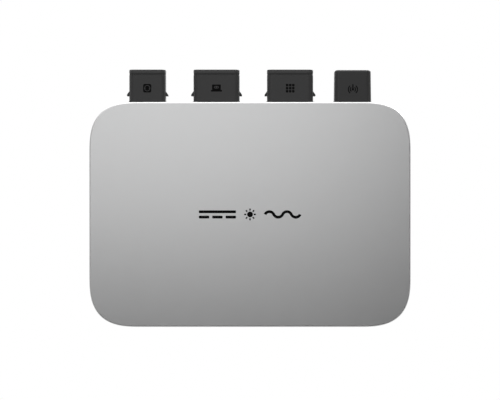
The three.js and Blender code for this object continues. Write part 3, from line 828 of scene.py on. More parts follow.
# %% [markdown]
# The pad and the bosses are the only faces that are machined after casting, so they are the highest points of the
# back and end in the same plane. Each boss has a short chamfer at the mouth of its hole, to lead the screw in.

# %% Pad, bosses and standoffs
earth_low, earth_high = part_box("earth_screw")
earth_centre = (earth_low + earth_high) / 2
root = PLATE_BACK - OVERLAP
BOSS = {"radius": 7 * MM, "hole": 2.1 * MM, "end": -6.3 * MM, "rim": 0.5 * MM}
EARTH_PAD = {"radius": 5.5 * MM, "hole": 2.2 * MM, "end": -6.7 * MM, "rim": 0.3 * MM, "face": -2.5 * MM}
VENT_HOLE = 4.3 * MM
BEYOND = -12 * MM


def round_boss(centre, radius, start, end, rim):
    """A short round column with a softened rim at the end that looks backwards."""
    piece = rod("boss", centre, radius, 1, start, end, 64)
    return bevel_edges(piece, edges_at(1, end), rim, 3)


def mouth_chamfer(centre, radius, place, depth=0.5 * MM):
    """A shallow cone that opens the mouth of a hole."""
    bpy.ops.mesh.primitive_cone_add(
        vertices=48, radius1=radius, radius2=radius + 2 * depth, depth=2 * depth,
        location=(centre[0], place, centre[2]), rotation=(math.radians(-90), 0, 0),
    )
    return settle(bpy.context.active_object)


pad = rounded_block("pad", (-PAD.x, root, -PAD.z), (PAD.x, 0, PAD.z), 1, 5 * MM)
weld(sink, bevel_edges(pad, edges_at(1, 0), BOSS["rim"], 3))
for x, z in BOSSES:
    weld(sink, round_boss((x, 0, z), BOSS["radius"], root, 0, BOSS["rim"]))
    drill(sink, rod("thread hole", (x, 0, z), BOSS["hole"], 1, BOSS["end"], behind, 32))
    drill(sink, mouth_chamfer((x, 0, z), BOSS["hole"], 0))
weld(sink, round_boss(earth_centre, EARTH_PAD["radius"], root, EARTH_PAD["face"], EARTH_PAD["rim"]))
drill(sink, rod("earth hole", earth_centre, EARTH_PAD["hole"], 1, EARTH_PAD["end"], behind, 32))
drill(sink, rod("vent hole", vent_centre, VENT_HOLE, 1, BEYOND, behind, 48))
print("heat sink has", len(sink.data.polygons), "faces with its pads")

# %% [markdown]
# Eight screws hold the cover from behind, through clear holes in the plate. Inside, eight hollow standoffs carry the
# main board. Their places are in lists, so one line welds or drills each kind.

# %% Screw holes and board standoffs
STANDOFFS = [(-98, 58), (-98, -58), (-40, 26), (-40, -34), (40, 26), (40, -34), (98, 58), (98, -58)]
STANDOFF = {"radius": 3.2 * MM, "hole": 1.3 * MM, "end": -6 * MM}
SCREW_HOLE = 1.6 * MM
standoff_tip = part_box("heat_sink_base")[0].y
for name in SCREWS:
    low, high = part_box(name)
    drill(sink, rod("screw hole", (low + high) / 2, SCREW_HOLE, 1, BEYOND, behind, 24))
for x, z in STANDOFFS:
    on_plate = (x * MM, 0, z * MM)
    weld(sink, rod("standoff", on_plate, STANDOFF["radius"], 1, standoff_tip, PLATE_FRONT + 0.2 * MM, 32))
    drill(sink, rod("standoff hole", on_plate, STANDOFF["hole"], 1, BEYOND, STANDOFF["end"], 20))
smooth(sink)
hand_over(sink, cast_aluminium, "cast_aluminium", "housing", "heat_sink_base")

# %% [markdown]
# ## Perimeter gasket
#
# A rubber ring fills the gap between the cover and the heat sink, and shows as a thin dark line round the side. It
# starts as a slab with the housing's outline. Its two flat faces are inset and bridged, which opens the ring.

# %% Gasket ring
def open_through(piece, axis, start, end, wall):
    """Opens a piece from one flat face to the other, leaving a wall of even thickness."""
    at_start, at_end = faces_at(axis, start), faces_at(axis, end)
    pick(piece, "FACE", lambda face: at_start(face) or at_end(face))
    bpy.ops.mesh.inset(thickness=wall, use_even_offset=True)
    bpy.ops.mesh.bridge_edge_loops()
    leave_edit()
    return piece


gasket_low, gasket_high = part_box("perimeter_gasket")
inset = gasket_low.x - cover_low.x
gasket = housing_slab("housing_gasket", gasket_high.y, gasket_low.y, inset)
open_through(gasket, 1, gasket_low.y, gasket_high.y, 1.8 * MM)
for side in (gasket_low.y, gasket_high.y):
    bevel_edges(gasket, edges_at(1, side), 0.12 * MM, 2)
hand_over(smooth(gasket), seal_rubber, "seal_rubber", "housing", "perimeter_gasket")

# %% [markdown]
# ## Screws
#
# One screw is modelled with its round-edged head, six-sided socket and pointed shaft, and copied to the other seven
# places. Each copy has a mesh of its own, so that it can be taken off alone.

# %% Cover screws
HEAD = 1.9 * MM
HEAD_RADIUS = 2.8 * MM
SOCKET = {"radius": 1.35 * MM, "depth": 1.2 * MM}
SHAFT_RADIUS = 1.25 * MM
screw_low, screw_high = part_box(SCREWS[0])
screw_centre = (screw_low + screw_high) / 2
head_front = screw_high.y - HEAD
screw = rod("cover_screw", screw_centre, HEAD_RADIUS, 1, head_front, screw_high.y, 48)
bevel_edges(screw, edges_at(1, screw_high.y), 0.7 * MM, 4)
bevel_edges(screw, edges_at(1, head_front), 0.15 * MM, 2)
drill(screw, rod("socket", screw_centre, SOCKET["radius"], 1, screw_high.y - SOCKET["depth"], behind, 6))
shaft = rod("shaft", screw_centre, SHAFT_RADIUS, 1, screw_low.y, head_front + OVERLAP, 32)
bevel_edges(shaft, edges_at(1, screw_low.y), 0.6 * MM, 2)
weld(screw, shaft)
smooth(screw)
for name in SCREWS[1:]:
    low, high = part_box(name)
    alone(screw)
    bpy.ops.object.duplicate()
    copy = bpy.context.active_object
    copy.location = (low + high) / 2 - screw_centre
    settle(copy)
    copy.name = f"{name}_detail"
    hand_over(copy, screw_steel, "screw_steel", "housing", name)
screw.name = f"{SCREWS[0]}_detail"
hand_over(screw, screw_steel, "screw_steel", "housing", SCREWS[0])

# %% [markdown]
# ## Vent plug and earth screw
#
# The vent is a plastic plug with a membrane behind its three slots: it lets the housing breathe as it warms and
# cools, and keeps rain out. The earth screw is slotted and sits on a washer, where a ring terminal goes.

# %% Vent plug
VENT_RADIUS = 6 * MM
VENT_STEM = 4 * MM
SLOT = {"pitch": 2.6 * MM, "reach": 4.7 * MM, "depth": 0.9 * MM, "half": 0.45 * MM, "corner": 0.44 * MM}
vent_front = PLATE_BACK + 0.1 * MM
vent = rod("vent_plug_detail", vent_centre, VENT_RADIUS, 1, vent_front, vent_high.y, 64)
bevel_edges(vent, edges_at(1, vent_high.y), 0.8 * MM, 4)
bevel_edges(vent, edges_at(1, vent_front), 0.2 * MM, 2)
for step in (-1, 0, 1):
    z = vent_centre.z + step * SLOT["pitch"]
    reach = math.sqrt(SLOT["reach"] ** 2 - (step * SLOT["pitch"]) ** 2)
    low = (-reach, vent_high.y - SLOT["depth"], z - SLOT["half"])
    drill(vent, rounded_block("slot", low, (reach, behind, z + SLOT["half"]), 1, SLOT["corner"], 4))
weld(vent, rod("stem", vent_centre, VENT_STEM, 1, vent_low.y, vent_front + OVERLAP))
hand_over(smooth(vent), black_plastic, "black_plastic", "housing", "vent_plug")

# %% [markdown]
# The earth screw bonds the housing to its bracket. Its head, washer and shaft are three rods that are welded into
# one piece, after the slot is cut across the head.

# %% Earth screw
EARTH_HEAD = 3.6 * MM
EARTH_SLOT = Vector((0.45 * MM, 0, 5 * MM))
WASHER = {"radius": 4.6 * MM, "front": -2.4 * MM, "back": -1.85 * MM}
EARTH_SHAFT = 1.8 * MM
earth = rod("earth_screw_detail", earth_centre, EARTH_HEAD, 1, -1.9 * MM, earth_high.y, 48)
bevel_edges(earth, edges_at(1, earth_high.y), 0.5 * MM, 3)
low, high = earth_centre - EARTH_SLOT, earth_centre + EARTH_SLOT
low.y, high.y = -1.1 * MM, behind
drill(earth, block("slot", low, high))
washer = rod("washer", earth_centre, WASHER["radius"], 1, WASHER["front"], WASHER["back"], 64)
bevel_edges(washer, edges_at(1, WASHER["front"]), 0.1 * MM, 1)
shaft = rod("shaft", earth_centre, EARTH_SHAFT, 1, earth_low.y, -2 * MM, 32)
weld(earth, washer, shaft)
hand_over(smooth(earth), screw_steel, "screw_steel", "housing", "earth_screw")

# %% [markdown]
# ## Ports
#
# Each port is an upright shroud with a wall all round, a flange that sits under the housing's top wall, and a lug
# on either side. The latch of the plug rides up the lug's ramp and snaps in under its flat bottom.

# %% Shrouds
WALL = 2 * MM
SEAM = 0.5 * MM
FLANGE_THICK = 2.4 * MM
FLANGE_CORNER = 3 * MM
EAR_HOLE = 1.3 * MM
LUG = {"above": 4.8 * MM, "height": 4.1 * MM, "reach": 1.85 * MM, "lip": 1 * MM, "half": 4 * MM}


def lug(face, side, middle):
    """A ramp on a port's side wall. face is the wall's place on X and side is -1 or 1."""
    bottom = cover_high.z + LUG["above"]
    top = bottom + LUG["height"]
    ends = sorted((face - side * OVERLAP, face + side * LUG["reach"]))
    tip = face + side * LUG["reach"]
    piece = block("lug", (ends[0], middle - LUG["half"], bottom), (ends[1], middle + LUG["half"], top))
    pick(piece, "EDGE", lambda edge: all(same(v.co.x, tip) and same(v.co.z, top) for v in edge.verts))
    bpy.ops.transform.translate(value=(0, 0, LUG["lip"] - LUG["height"]))
    leave_edit()
    return bevel_edges(
        piece, lambda edge: any(same(v.co.x, tip) for v in edge.verts) and edge.calc_face_angle(0) > 0.3, 0.22 * MM, 2
    )


def flange_corners(port, bottom, top):
    low, high = port_outline(port)
    return (
        Vector((low.x - EAR, low.y - FLANGE_OVERHANG, bottom)),
        Vector((high.x + EAR, high.y + FLANGE_OVERHANG, top)),
    )


def ear_holes(port, bottom, top):
    low, high = port_outline(port)
    middle = (low.y + high.y) / 2
    places = (low.x - EAR / 2, high.x + EAR / 2)
    return [rod("ear hole", (x, middle, 0), EAR_HOLE, 2, bottom, top, 24) for x in places]


def shroud(port):
    low, high = port_outline(port)
    bottom, rim = (corner.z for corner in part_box(f"{port}_port_shroud"))
    rim -= SEAM
    flange_top = bottom + FLANGE_THICK
    piece = rounded_block(f"{port}_shroud", *widened(low, high, 0, bottom, rim), 2, PORT_CORNER, 10)
    bevel_edges(piece, edges_at(2, rim), 0.3 * MM, 3)
    weld(piece, rounded_block("flange", *flange_corners(port, bottom, flange_top), 2, FLANGE_CORNER))
    middle = (low.y + high.y) / 2
    weld(piece, lug(low.x, -1, middle), lug(high.x, 1, middle))
    inside = widened(low, high, -WALL, bottom - 1 * MM, rim + 1 * MM)
    drill(piece, rounded_block("socket", *inside, 2, PORT_CORNER - WALL), *ear_holes(port, bottom - 1 * MM, rim))
    return smooth(piece)


for port in PORTS:
    hand_over(shroud(port), black_plastic, "black_plastic", "housing", f"{port}_port_shroud")

# %% [markdown]
# ## Caps and their seals
#
# A cap keeps an unused port dry. Its flange covers the rim, and a hollow plug under it grips the inside of the
# socket. The soft seal between flange and rim shows as a dark line below the cap. Both pull off upwards together.

# %% Caps
CAP_ROUND = 0.55 * MM
PLUG_WALL = 1.5 * MM
PLUG_ROOM = 3.9 * MM
SEAL_WALL = 1.6 * MM
SEAL_SWELL = 0.45 * MM


def cap(port):
    low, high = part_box(f"{port}_port_cap")
    flange_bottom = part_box(f"{port}_cap_seal")[1].z + 0.05 * MM
    piece = rounded_block(f"{port}_cap_detail", *widened(low, high, 0, flange_bottom, high.z), 2, PORT_CORNER, 10)
    bevel_edges(piece, edges_at(2, high.z), CAP_ROUND, 4)
    bevel_edges(piece, edges_at(2, flange_bottom), 0.15 * MM, 2)
    pick(piece, "FACE", faces_at(2, flange_bottom))
    bpy.ops.mesh.inset(thickness=WALL + 0.2 * MM, use_even_offset=True)
    bpy.ops.mesh.extrude_region_move(TRANSFORM_OT_translate={"value": (0, 0, low.z - flange_bottom)})
    bpy.ops.mesh.inset(thickness=PLUG_WALL, use_even_offset=True)
    bpy.ops.mesh.extrude_region_move(TRANSFORM_OT_translate={"value": (0, 0, PLUG_ROOM)})
    leave_edit()
    bevel_edges(piece, edges_at(2, low.z), 0.3 * MM, 2)
    return smooth(piece)


def cap_seal(port):
    low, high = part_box(f"{port}_cap_seal")
    low, high = widened(low, high, SEAL_SWELL, low.z - SEAM, high.z)
    radius = PORT_CORNER - (low.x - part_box(f"{port}_port_cap")[0].x)
    piece = rounded_block(f"{port}_seal_detail", low, high, 2, radius, 10)
    open_through(piece, 2, low.z, high.z, SEAL_WALL)
    return smooth(piece)


for port in PORTS:
    hand_over(cap(port), cap_plastic, "black_plastic", f"{port}_cap", f"{port}_port_cap")
    hand_over(cap_seal(port), cap_rubber, "seal_rubber", f"{port}_cap", f"{port}_cap_seal")

# %% [markdown]
# ## Contacts and their carriers
#
# With a cap pulled off, the pins show at the bottom of the socket. They stand in a carrier that clips in from
# below. Each pin has a rounded tip that finds its way into the plug, and turns towards the main board at its foot.

# %% Carriers
CONTACTS = {
    port: sorted(n for n in nodes if n.startswith(f"{port}_contact_") and n[-1].isdigit()) for port in PORTS
}


def pin_radius(name):
    low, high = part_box(name)
    return (high.x - low.x) / 2


def carrier(port):
    low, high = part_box(f"{port}_contact_carrier")
    outline = port_outline(port)
    ears_top = low.z + FLANGE_THICK
    gap = WALL + CLEARANCE
    piece = rounded_block(
        f"{port}_carrier_detail", *widened(*outline, -gap, ears_top - 0.2 * MM, high.z), 2, PORT_CORNER - gap
    )
    bevel_edges(piece, edges_at(2, high.z), 0.3 * MM, 2)
    weld(piece, rounded_block("ears", *flange_corners(port, low.z, ears_top), 2, FLANGE_CORNER))
    for name in CONTACTS[port]:
        pin_low, pin_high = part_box(name)
        centre = Vector(((pin_low.x + pin_high.x) / 2, (outline[0].y + outline[1].y) / 2, 0))
        radius = pin_radius(name) + CLEARANCE
        drill(piece, rod("pin hole", centre, radius, 2, low.z - 1 * MM, high.z + 1 * MM, 40))
    drill(piece, *ear_holes(port, low.z - 1 * MM, ears_top + 1 * MM))
    return smooth(piece)


for port in PORTS:
    hand_over(carrier(port), black_plastic, "black_plastic", "housing", f"{port}_contact_carrier")

# %% [markdown]
# A pin is a brass rod with a well rounded tip. Its foot turns towards the board. The bend could be swept along a
# curve, but the carrier hides it, so a bevelled block is welded on instead.

# %% Pins
TAIL_HEIGHT = 1.6 * MM


def contact(name, port):
    low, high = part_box(name)
    outline = port_outline(port)
    middle = (outline[0].y + outline[1].y) / 2
    radius = pin_radius(name)
    centre = ((low.x + high.x) / 2, middle, 0)
    piece = rod(f"{name}_detail", centre, radius, 2, low.z, high.z, 40)
    bevel_edges(piece, edges_at(2, high.z), 0.65 * radius, 5)
    thick = 0.6 * radius
    tail_low = (centre[0] - thick, middle, low.z)
    tail = block("tail", tail_low, (centre[0] + thick, high.y, low.z + TAIL_HEIGHT))
    bevel_edges(tail, edges_along(1), 0.2 * MM, 2)
    return smooth(weld(piece, tail))


for port in PORTS:
    for name in CONTACTS[port]:
        hand_over(contact(name, port), contact_brass, "contact_brass", "housing", name)

# %% [markdown]
# ## Antenna block
#
# The antenna's cover has the same plan as a port, but no seam and no lugs. It narrows slightly towards the top, so
# that it slides out of its mould, and its top edges are well rounded. It is hollow, open below, and its flange sits
# under the housing's wall.

# %% Antenna radome
TAPER = 0.4 * MM
RADOME_ROUND = 1.6 * MM
RADOME_WALL = 2.4 * MM
RADOME_TOP = 2.2 * MM
low, high = port_outline("antenna")
bottom, top = antenna_low.z, antenna_high.z
radome = rounded_block("antenna_cover", *widened(low, high, 0, bottom, top), 2, PORT_CORNER, 10)
pick(radome, "FACE", faces_at(2, top))
centre = (low + high) / 2
narrower = 1 - TAPER / (high.x - centre.x)
bpy.ops.transform.resize(value=(narrower, 1, 1), center_override=(centre.x, centre.y, top))
leave_edit()
bevel_edges(radome, edges_at(2, top), RADOME_ROUND, 6)
flange = flange_corners("antenna", bottom, bottom + FLANGE_THICK)
weld(radome, rounded_block("flange", *flange, 2, FLANGE_CORNER))
hollow = widened(low, high, -RADOME_WALL, bottom - 1 * MM, top - RADOME_TOP)
drill(radome, rounded_block("hollow", *hollow, 2, PORT_CORNER / 2), *ear_holes("antenna", bottom - 1 * MM, top))
hand_over(smooth(radome), antenna_plastic, "black_plastic", "housing", "antenna_radome")

# %% [markdown]
# ## Port gaskets
#
# Rain must not get in round a port. A rubber gasket lies on each flange, and a thin lip of it rises through the
# opening and fills the narrow gap between port and wall. The lip's edge shows as a fine black line at the port's foot.
# That line is partly a real seal and partly painted shade where the port meets the housing.

# %% Gaskets with a lip
# The dark lip above the wall is partly painted shade at the port's foot.
LIP = 0.26 * MM
LIP_RISE = 0.75 * MM
FIT = 0.02 * MM


def port_gasket(port):
    name = f"{port}_gasket" if port == "antenna" else f"{port}_port_gasket"
    low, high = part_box(name)
    outline = port_outline(port)
    lip_top = cover_high.z + LIP_RISE
    piece = rounded_block(f"{port}_gasket_detail", low, high, 2, FLANGE_CORNER)
    lip = rounded_block("lip", *widened(*outline, LIP, low.z, lip_top), 2, PORT_CORNER + LIP, 10)
    weld(piece, bevel_edges(lip, edges_at(2, lip_top), 0.08 * MM, 2))
    inside = widened(*outline, FIT, low.z - 1 * MM, above_wall)
    drill(piece, rounded_block("passage", *inside, 2, PORT_CORNER + FIT, 10))
    drill(piece, *ear_holes(port, low.z - 1 * MM, high.z + 1 * MM))
    return hand_over(smooth(piece), seal_rubber, "seal_rubber", "housing", name)


for port in [*PORTS, "antenna"]:
    port_gasket(port)

# %% [markdown]
# ## Button and status light
#
# Between the battery and solar ports a soft round button and a small light pipe come up through the top wall. Both
# end just below its surface, so nothing can catch on them. The button's face has a shallow dish for a fingertip.

# %% Pairing button
BUTTON = {"radius": 2.75 * MM, "collar": 3.7 * MM, "stem": 1.2 * MM, "rim": 0.5 * MM, "dish": 0.2 * MM}
stem_top = button_low.z + 0.7 * MM
button = rod("pairing_button_detail", button_centre, BUTTON["radius"], 2, stem_top, button_high.z, 64)
bevel_edges(button, edges_at(2, button_high.z), 0.35 * MM, 3)
pick(button, "FACE", faces_at(2, button_high.z))
bpy.ops.mesh.inset(thickness=BUTTON["rim"])
bpy.ops.mesh.inset(thickness=BUTTON["rim"], depth=-BUTTON["dish"])
leave_edit()
collar = rod("collar", button_centre, BUTTON["collar"], 2, stem_top, button_low.z + 1.7 * MM, 64)
stem = rod("stem", button_centre, BUTTON["stem"], 2, button_low.z, button_low.z + 0.8 * MM, 32)
weld(button, collar, stem)
hand_over(smooth(button), button_rubber, "button_rubber", "pairing_button", "pairing_button")

# %% [markdown]
# Seen from above the light pipe is a short line with round ends. A wider collar under the wall keeps it from being
# pushed through. Both are blocks whose upright edges are rounded almost to the middle, welded together.

# %% Status light pipe
collar_low, collar_high = 78.4 * MM, 80.4 * MM
inner = widened(light_low, light_high, -PIPE_COLLAR, light_low.z, light_high.z)
inner_radius = (inner[1].x - inner[0].x) / 2 - 0.01 * MM
pipe = rounded_block("status_light_detail", *inner, 2, inner_radius, 10)
bevel_edges(pipe, edges_at(2, light_high.z), 0.25 * MM, 3)
outer = widened(light_low, light_high, 0, collar_low, collar_high)
weld(pipe, rounded_block("collar", *outer, 2, inner_radius + PIPE_COLLAR, 10))
hand_over(smooth(pipe), light_pipe, "light_pipe", "housing", "status_light_pipe")

# %% [markdown]
# ## Printed symbols
#
# Each port carries a small printed symbol: a mains socket, a power station and a solar array, and radio waves on the
# antenna block. A layer of ink stands a few hundredths of a millimetre proud, so each symbol is made of very thin
# solids that lie half in the wall. They are drawn round the origin and then moved to the wall. A curved stroke is
# the cross-section of a line of ink, swept round a centre with the Spin operator.

# %% Strokes of ink
INK = 0.05 * MM
CUT = 3 * INK


def bar(x, z, width, height, radius, proud=INK):
    """A flat bar with rounded corners, centred at x and z. All but the last size are in millimetres."""
    low = ((x - width / 2) * MM, -proud, (z - height / 2) * MM)
    high = ((x + width / 2) * MM, proud, (z + height / 2) * MM)
    return rounded_block("bar", low, high, 1, radius * MM, 5)


def dot(x, z, radius, sides=40, proud=INK):
    return rod("dot", (x * MM, 0, z * MM), radius * MM, 1, -proud, proud, sides)


def clear(piece, *tools):
    """Cuts shapes that are thicker than the ink out of it, and splits what is left into triangles."""
    drill(piece, *tools)
    apply_modifier(piece, "TRIANGULATE")
    return piece


def stroke(x, z, width, turns, lean=0.0):
    """A curved stroke that starts at x and z. A turn has a centre, an angle, and 1 for clockwise or -1."""
    bpy.ops.object.select_all(action="DESELECT")
    bpy.ops.mesh.primitive_plane_add(size=1, location=(x * MM, 0, z * MM), rotation=(0, math.radians(lean), 0))
    piece = bpy.context.active_object
    piece.scale = (width * MM, 2 * INK, 1)
    settle(piece)
    alone(piece)
    bpy.ops.object.mode_set(mode="EDIT")
    bpy.ops.mesh.select_mode(type="FACE")
    bpy.ops.mesh.select_all(action="SELECT")
    for centre_x, centre_z, angle, way in turns:
        centre = (centre_x * MM, 0, centre_z * MM)
        steps = max(6, round(angle / 9))
        bpy.ops.mesh.spin(steps=steps, angle=math.radians(angle), center=centre, axis=(0, -way, 0))
    bpy.ops.mesh.select_all(action="SELECT")
    bpy.ops.mesh.normals_make_consistent(inside=False)
    leave_edit()
    return piece


print("ink stands", INK / MM, "mm proud")

# %% [markdown]
# The socket symbol is a rounded square with a round opening, and a disc in it with a notch on either side. The power
# station is a box on a wide foot, with a rounded window. The solar array is a grid of nine cells.

# %% Socket, power station and solar array
def socket_symbol():
    plate = bar(0, 0, 6.1, 6.4, 1.2)
    disc = dot(0, 0, 1.8, 48)
    clear(plate, dot(0, 0, 2.3, 48, CUT))
    clear(disc, *[dot(side * 1.6, 0, 0.42, 20, CUT) for side in (-1, 1)])
    return join("grid_symbol", [plate, disc])


def station_symbol():
    box = bar(0, 0.65, 6.5, 4.2, 0.4)
    clear(box, bar(0, 0.75, 3.5, 1.9, 0.94, CUT))
    foot = bar(0, -1.95, 8.4, 1.15, 0.3)
    return join("battery_symbol", [box, foot, dot(-0.75, 0.75, 0.42, 20), dot(0.75, 0.75, 0.42, 20)])


def array_symbol():
    pitch = 2.32
    places = [(column * pitch, row * pitch) for column in (-1, 0, 1) for row in (-1, 0, 1)]
    return join("solar_symbol", [bar(x, z, 1.85, 1.85, 0.45) for x, z in places])


print("three port symbols are ready to be made")

# %% [markdown]
# The radio symbol is a short mast with a round foot between two pairs of arcs. Each arc starts level with the mast's
# foot, sweeps to one side, and is then tilted so that it is as far above as below.

# %% Radio waves
def wave_arc(radius, side, spread=104, width=0.75):
    """An arc round the origin, spread degrees long and open towards the mast, on one side of it."""
    piece = stroke(side * radius, 0, width, [(0, 0, spread, side)])
    piece.rotation_euler = (0, math.radians(-side * spread / 2), 0)
    return settle(piece)


def radio_symbol():
    foot = -0.9
    pieces = [bar(0, foot + 1.9, 0.85, 4.2, 0.4), dot(0, foot, 0.8, 24)]
    for radius in (1.95, 3.45):
        for side in (-1, 1):
            arc = wave_arc(radius, side)
            arc.location = (0, 0, foot * MM)
            pieces.append(settle(arc))
    return join("antenna_symbol", pieces)


SYMBOL_HEIGHT = 10.4 * MM
symbols = {"grid": socket_symbol, "battery": station_symbol, "solar": array_symbol, "antenna": radio_symbol}
for port, draw in symbols.items():
    low, high = port_outline(port)
    symbol = draw()
    symbol.location = ((low.x + high.x) / 2, low.y, cover_high.z + SYMBOL_HEIGHT)
    settle(symbol)
    hand_over(symbol, printed_ink, "printed_ink", "housing")

# %% [markdown]
# The middle of the panel says in signs what the box does. On the left is the sign for direct current, a line over
# three dashes. A sun stands in the middle. On the right is the sign for alternating current, a wave, swept as one
# stroke that turns one way and then the other.

# %% Panel signs
SIGN_DISTANCE = 24.5
LINE = 2.1


def direct_current(middle, width, gap=2.2, above=2.0, corner=0.6):
    dash = (width - 2 * gap) / 3
    dashes = [bar(middle + step * (dash + gap), -above, dash, LINE, corner) for step in (-1, 0, 1)]
    return [bar(middle, above, width, LINE, corner), *dashes]


def sun(radius, rays=8):
    pieces = [dot(0, 0, radius, 64)]
    for i in range(rays):
        ray = bar(0, radius + 1.45, 1.15, 1.7, 0.5)
        ray.rotation_euler = (0, math.radians(i * 360 / rays), 0)
        pieces.append(settle(ray))
    return pieces


def alternating_current(middle, halves, length, steepness):
    """A wave of equal arcs. It crosses its middle line at a given steepness, in degrees."""
    slope = math.radians(steepness)
    radius = length / 2 / math.sin(slope)
    below = radius * math.cos(slope)
    start = middle - halves * length / 2
    turns = []
    for i in range(halves):
        way = 1 if i % 2 == 0 else -1
        turns.append((start + (i + 0.5) * length, -way * below, 2 * steepness, way))
    return stroke(start, 0, LINE, turns, lean=90 - steepness)


wave = alternating_current(SIGN_DISTANCE, 4, 6.6, 65)
emblem = join("panel_signs", [*direct_current(-SIGN_DISTANCE, 28), *sun(2.2), wave])
emblem.location = (0, cover_low.y, 0)
settle(emblem)
hand_over(emblem, printed_ink, "printed_ink", "housing")

# %% [markdown]
# ## Hidden pieces
#
# Everything inside the housing keeps its engineering shape and gets its finish here, by the name of its material
# slot. The list covers every slot, so that no piece is left with a plain colour.

# %% Finishes for the engineering model
finishes = {
    "front_aluminium": blasted_aluminium,
    "cast_aluminium": cast_aluminium,
    "seal_rubber": seal_rubber,
    "screw_steel": screw_steel,
    "black_plastic": black_plastic,
    "contact_brass": contact_brass,
    "circuit_board": circuit_board,
    "cable_jacket": cable_jacket,
    "button_rubber": button_rubber,
    "grey_silicone": grey_silicone,
    "light_pipe": light_pipe,
    "ferrite": ferrite,
    "winding_tape": winding_tape,
    "relay_plastic": relay_plastic,
    "capacitor_sleeve": capacitor_sleeve,
    "tinned_shield": tinned_shield,
    "potting": potting_resin,
}
for node in nodes.values():
    for material_slot in node.material_slots:
        material_slot.material = finishes[material_slot.material.name.split(".")[0]]
shown = [name for name, node in nodes.items() if not node.hide_render]
print(len(made), "new pieces, and", len(shown), "engineering pieces keep their shape")

# %% [markdown]
# ## Floor and backdrop
#
# The inverter hangs on its bracket, well above a plain pale floor. The ground of the picture is clean white, so the
# camera sees pure white wherever it sees the floor or the world. What lights the object is a studio that is dark
# straight in front of the panel, grey round that dark spot, and bright behind and above. The dark spot leaves the
# panel's shading to the softbox. The grey and bright parts draw the light line along every rounded edge, and keep
# the aluminium silver when it is looked at from the side.

# %% Floor
FLOOR_HEIGHT = -0.5
bpy.ops.object.select_all(action="DESELECT")
bpy.ops.mesh.primitive_plane_add(size=8, location=(0, 0, FLOOR_HEIGHT))
floor = bpy.context.active_object
floor.name = "floor"
paper = bpy.data.materials.new("pale floor")
paper.use_nodes = True
tree = paper.node_tree
tree.nodes["Principled BSDF"].inputs["Base Color"].default_value = (0.7, 0.7, 0.7, 1)
tree.nodes["Principled BSDF"].inputs["Roughness"].default_value = 0.9
white = add(tree, "ShaderNodeEmission", {"Color": (1, 1, 1, 1), "Strength": 1})
seen = add(tree, "ShaderNodeLightPath")
choice = add(tree, "ShaderNodeMixShader")
wire(
    tree,
    (seen.outputs["Is Camera Ray"], choice.inputs[0]),
    (tree.nodes["Principled BSDF"].outputs[0], choice.inputs[1]),
    (white.outputs[0], choice.inputs[2]),
    (choice.outputs[0], tree.nodes["Material Output"].inputs["Surface"]),
)
floor.data.materials.append(paper)
floor.visible_glossy = False
floor.visible_diffuse = False
floor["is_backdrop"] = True
print("floor", abs(FLOOR_HEIGHT), "m below")

# %% [markdown]
# The light of the room depends only on direction. An image of a studio could hold it, but a few nodes can do the same.
# The direction's Y tells front from back, its Z tells up from down, and only the camera's own rays are given white.

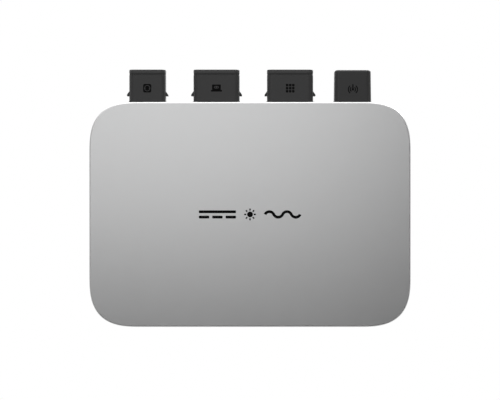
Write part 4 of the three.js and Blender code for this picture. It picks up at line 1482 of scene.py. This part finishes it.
# %% World
AROUND = 0.4
BEHIND = 1.4
ABOVE = 1.0
STEEPNESS = 2.5
world = bpy.data.worlds.new("white studio")
bpy.context.scene.world = world
world.use_nodes = True
tree = world.node_tree
direction = add(tree, "ShaderNodeTexCoord")
parts = add(tree, "ShaderNodeSeparateXYZ")
backwards = add(tree, "ShaderNodeMapRange", {"From Min": -1})
steep = add(tree, "ShaderNodeMath", {1: STEEPNESS}, operation="POWER")
ring = {"From Min": -0.9, "From Max": -0.72, "To Max": AROUND}
around_light = add(tree, "ShaderNodeMapRange", ring, interpolation_type="SMOOTHSTEP")
behind_light = add(tree, "ShaderNodeMath", {1: BEHIND}, operation="MULTIPLY_ADD")
above_light = add(tree, "ShaderNodeMapRange", {"From Min": 0.3, "From Max": 0.9, "To Max": ABOVE})
room = add(tree, "ShaderNodeMath", operation="ADD")
seen = add(tree, "ShaderNodeLightPath")
strength = add(tree, "ShaderNodeMapRange", {"To Max": 1})
wire(
    tree,
    (direction.outputs["Generated"], parts.inputs[0]),
    (parts.outputs["Y"], backwards.inputs["Value"]),
    (backwards.outputs["Result"], steep.inputs[0]),
    (steep.outputs[0], behind_light.inputs[0]),
    (parts.outputs["Y"], around_light.inputs["Value"]),
    (around_light.outputs["Result"], behind_light.inputs[2]),
    (parts.outputs["Z"], above_light.inputs["Value"]),
    (behind_light.outputs[0], room.inputs[0]),
    (above_light.outputs["Result"], room.inputs[1]),
    (seen.outputs["Is Camera Ray"], strength.inputs["Value"]),
    (room.outputs[0], strength.inputs["To Min"]),
    (strength.outputs["Result"], tree.nodes["Background"].inputs["Strength"]),
)
tree.nodes["Background"].inputs["Color"].default_value = (1, 1, 1, 1)
bpy.context.scene.view_settings.view_transform = "Standard"
print("light of the room:", AROUND, "round the front,", BEHIND, "behind and", ABOVE, "more above")

# %% [markdown]
# ## Lights
#
# A tall softbox hangs about half a metre in front of the panel and above it, turned slightly to the right. Because
# it is close, its reflection in the blasted aluminium fades smoothly from the top and left of the panel to the
# bottom and right. A second softbox behind and above lights the heat sink and its fins.

# %% Softboxes
def softbox(name, place, target, width, height, watts):
    aim = (Vector(target) - Vector(place)).to_track_quat("-Z", "Y").to_euler()
    bpy.ops.object.light_add(type="AREA", location=place, rotation=aim)
    lamp = bpy.context.active_object
    lamp.name = name
    lamp.data.shape = "RECTANGLE"
    lamp.data.size = width
    lamp.data.size_y = height
    lamp.data.energy = watts
    lamp.visible_camera = False
    print(f"{name}: {watts} W, {width} by {height} m")
    return lamp


softbox("key softbox", (0.008, -0.568, 0.462), (0.3, 0, 0.18), 0.635, 1.16, 2.85)
softbox("back softbox", (0.45, 0.75, 0.65), (0, 0, 0), 0.6, 0.6, 8)

# %% Write the sizes and finish
looks_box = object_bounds()
for label, (low, high) in (("engineering", cad_box), ("finished", looks_box)):
    print(label, [round(1000 * side, 2) for side in high - low], "mm")
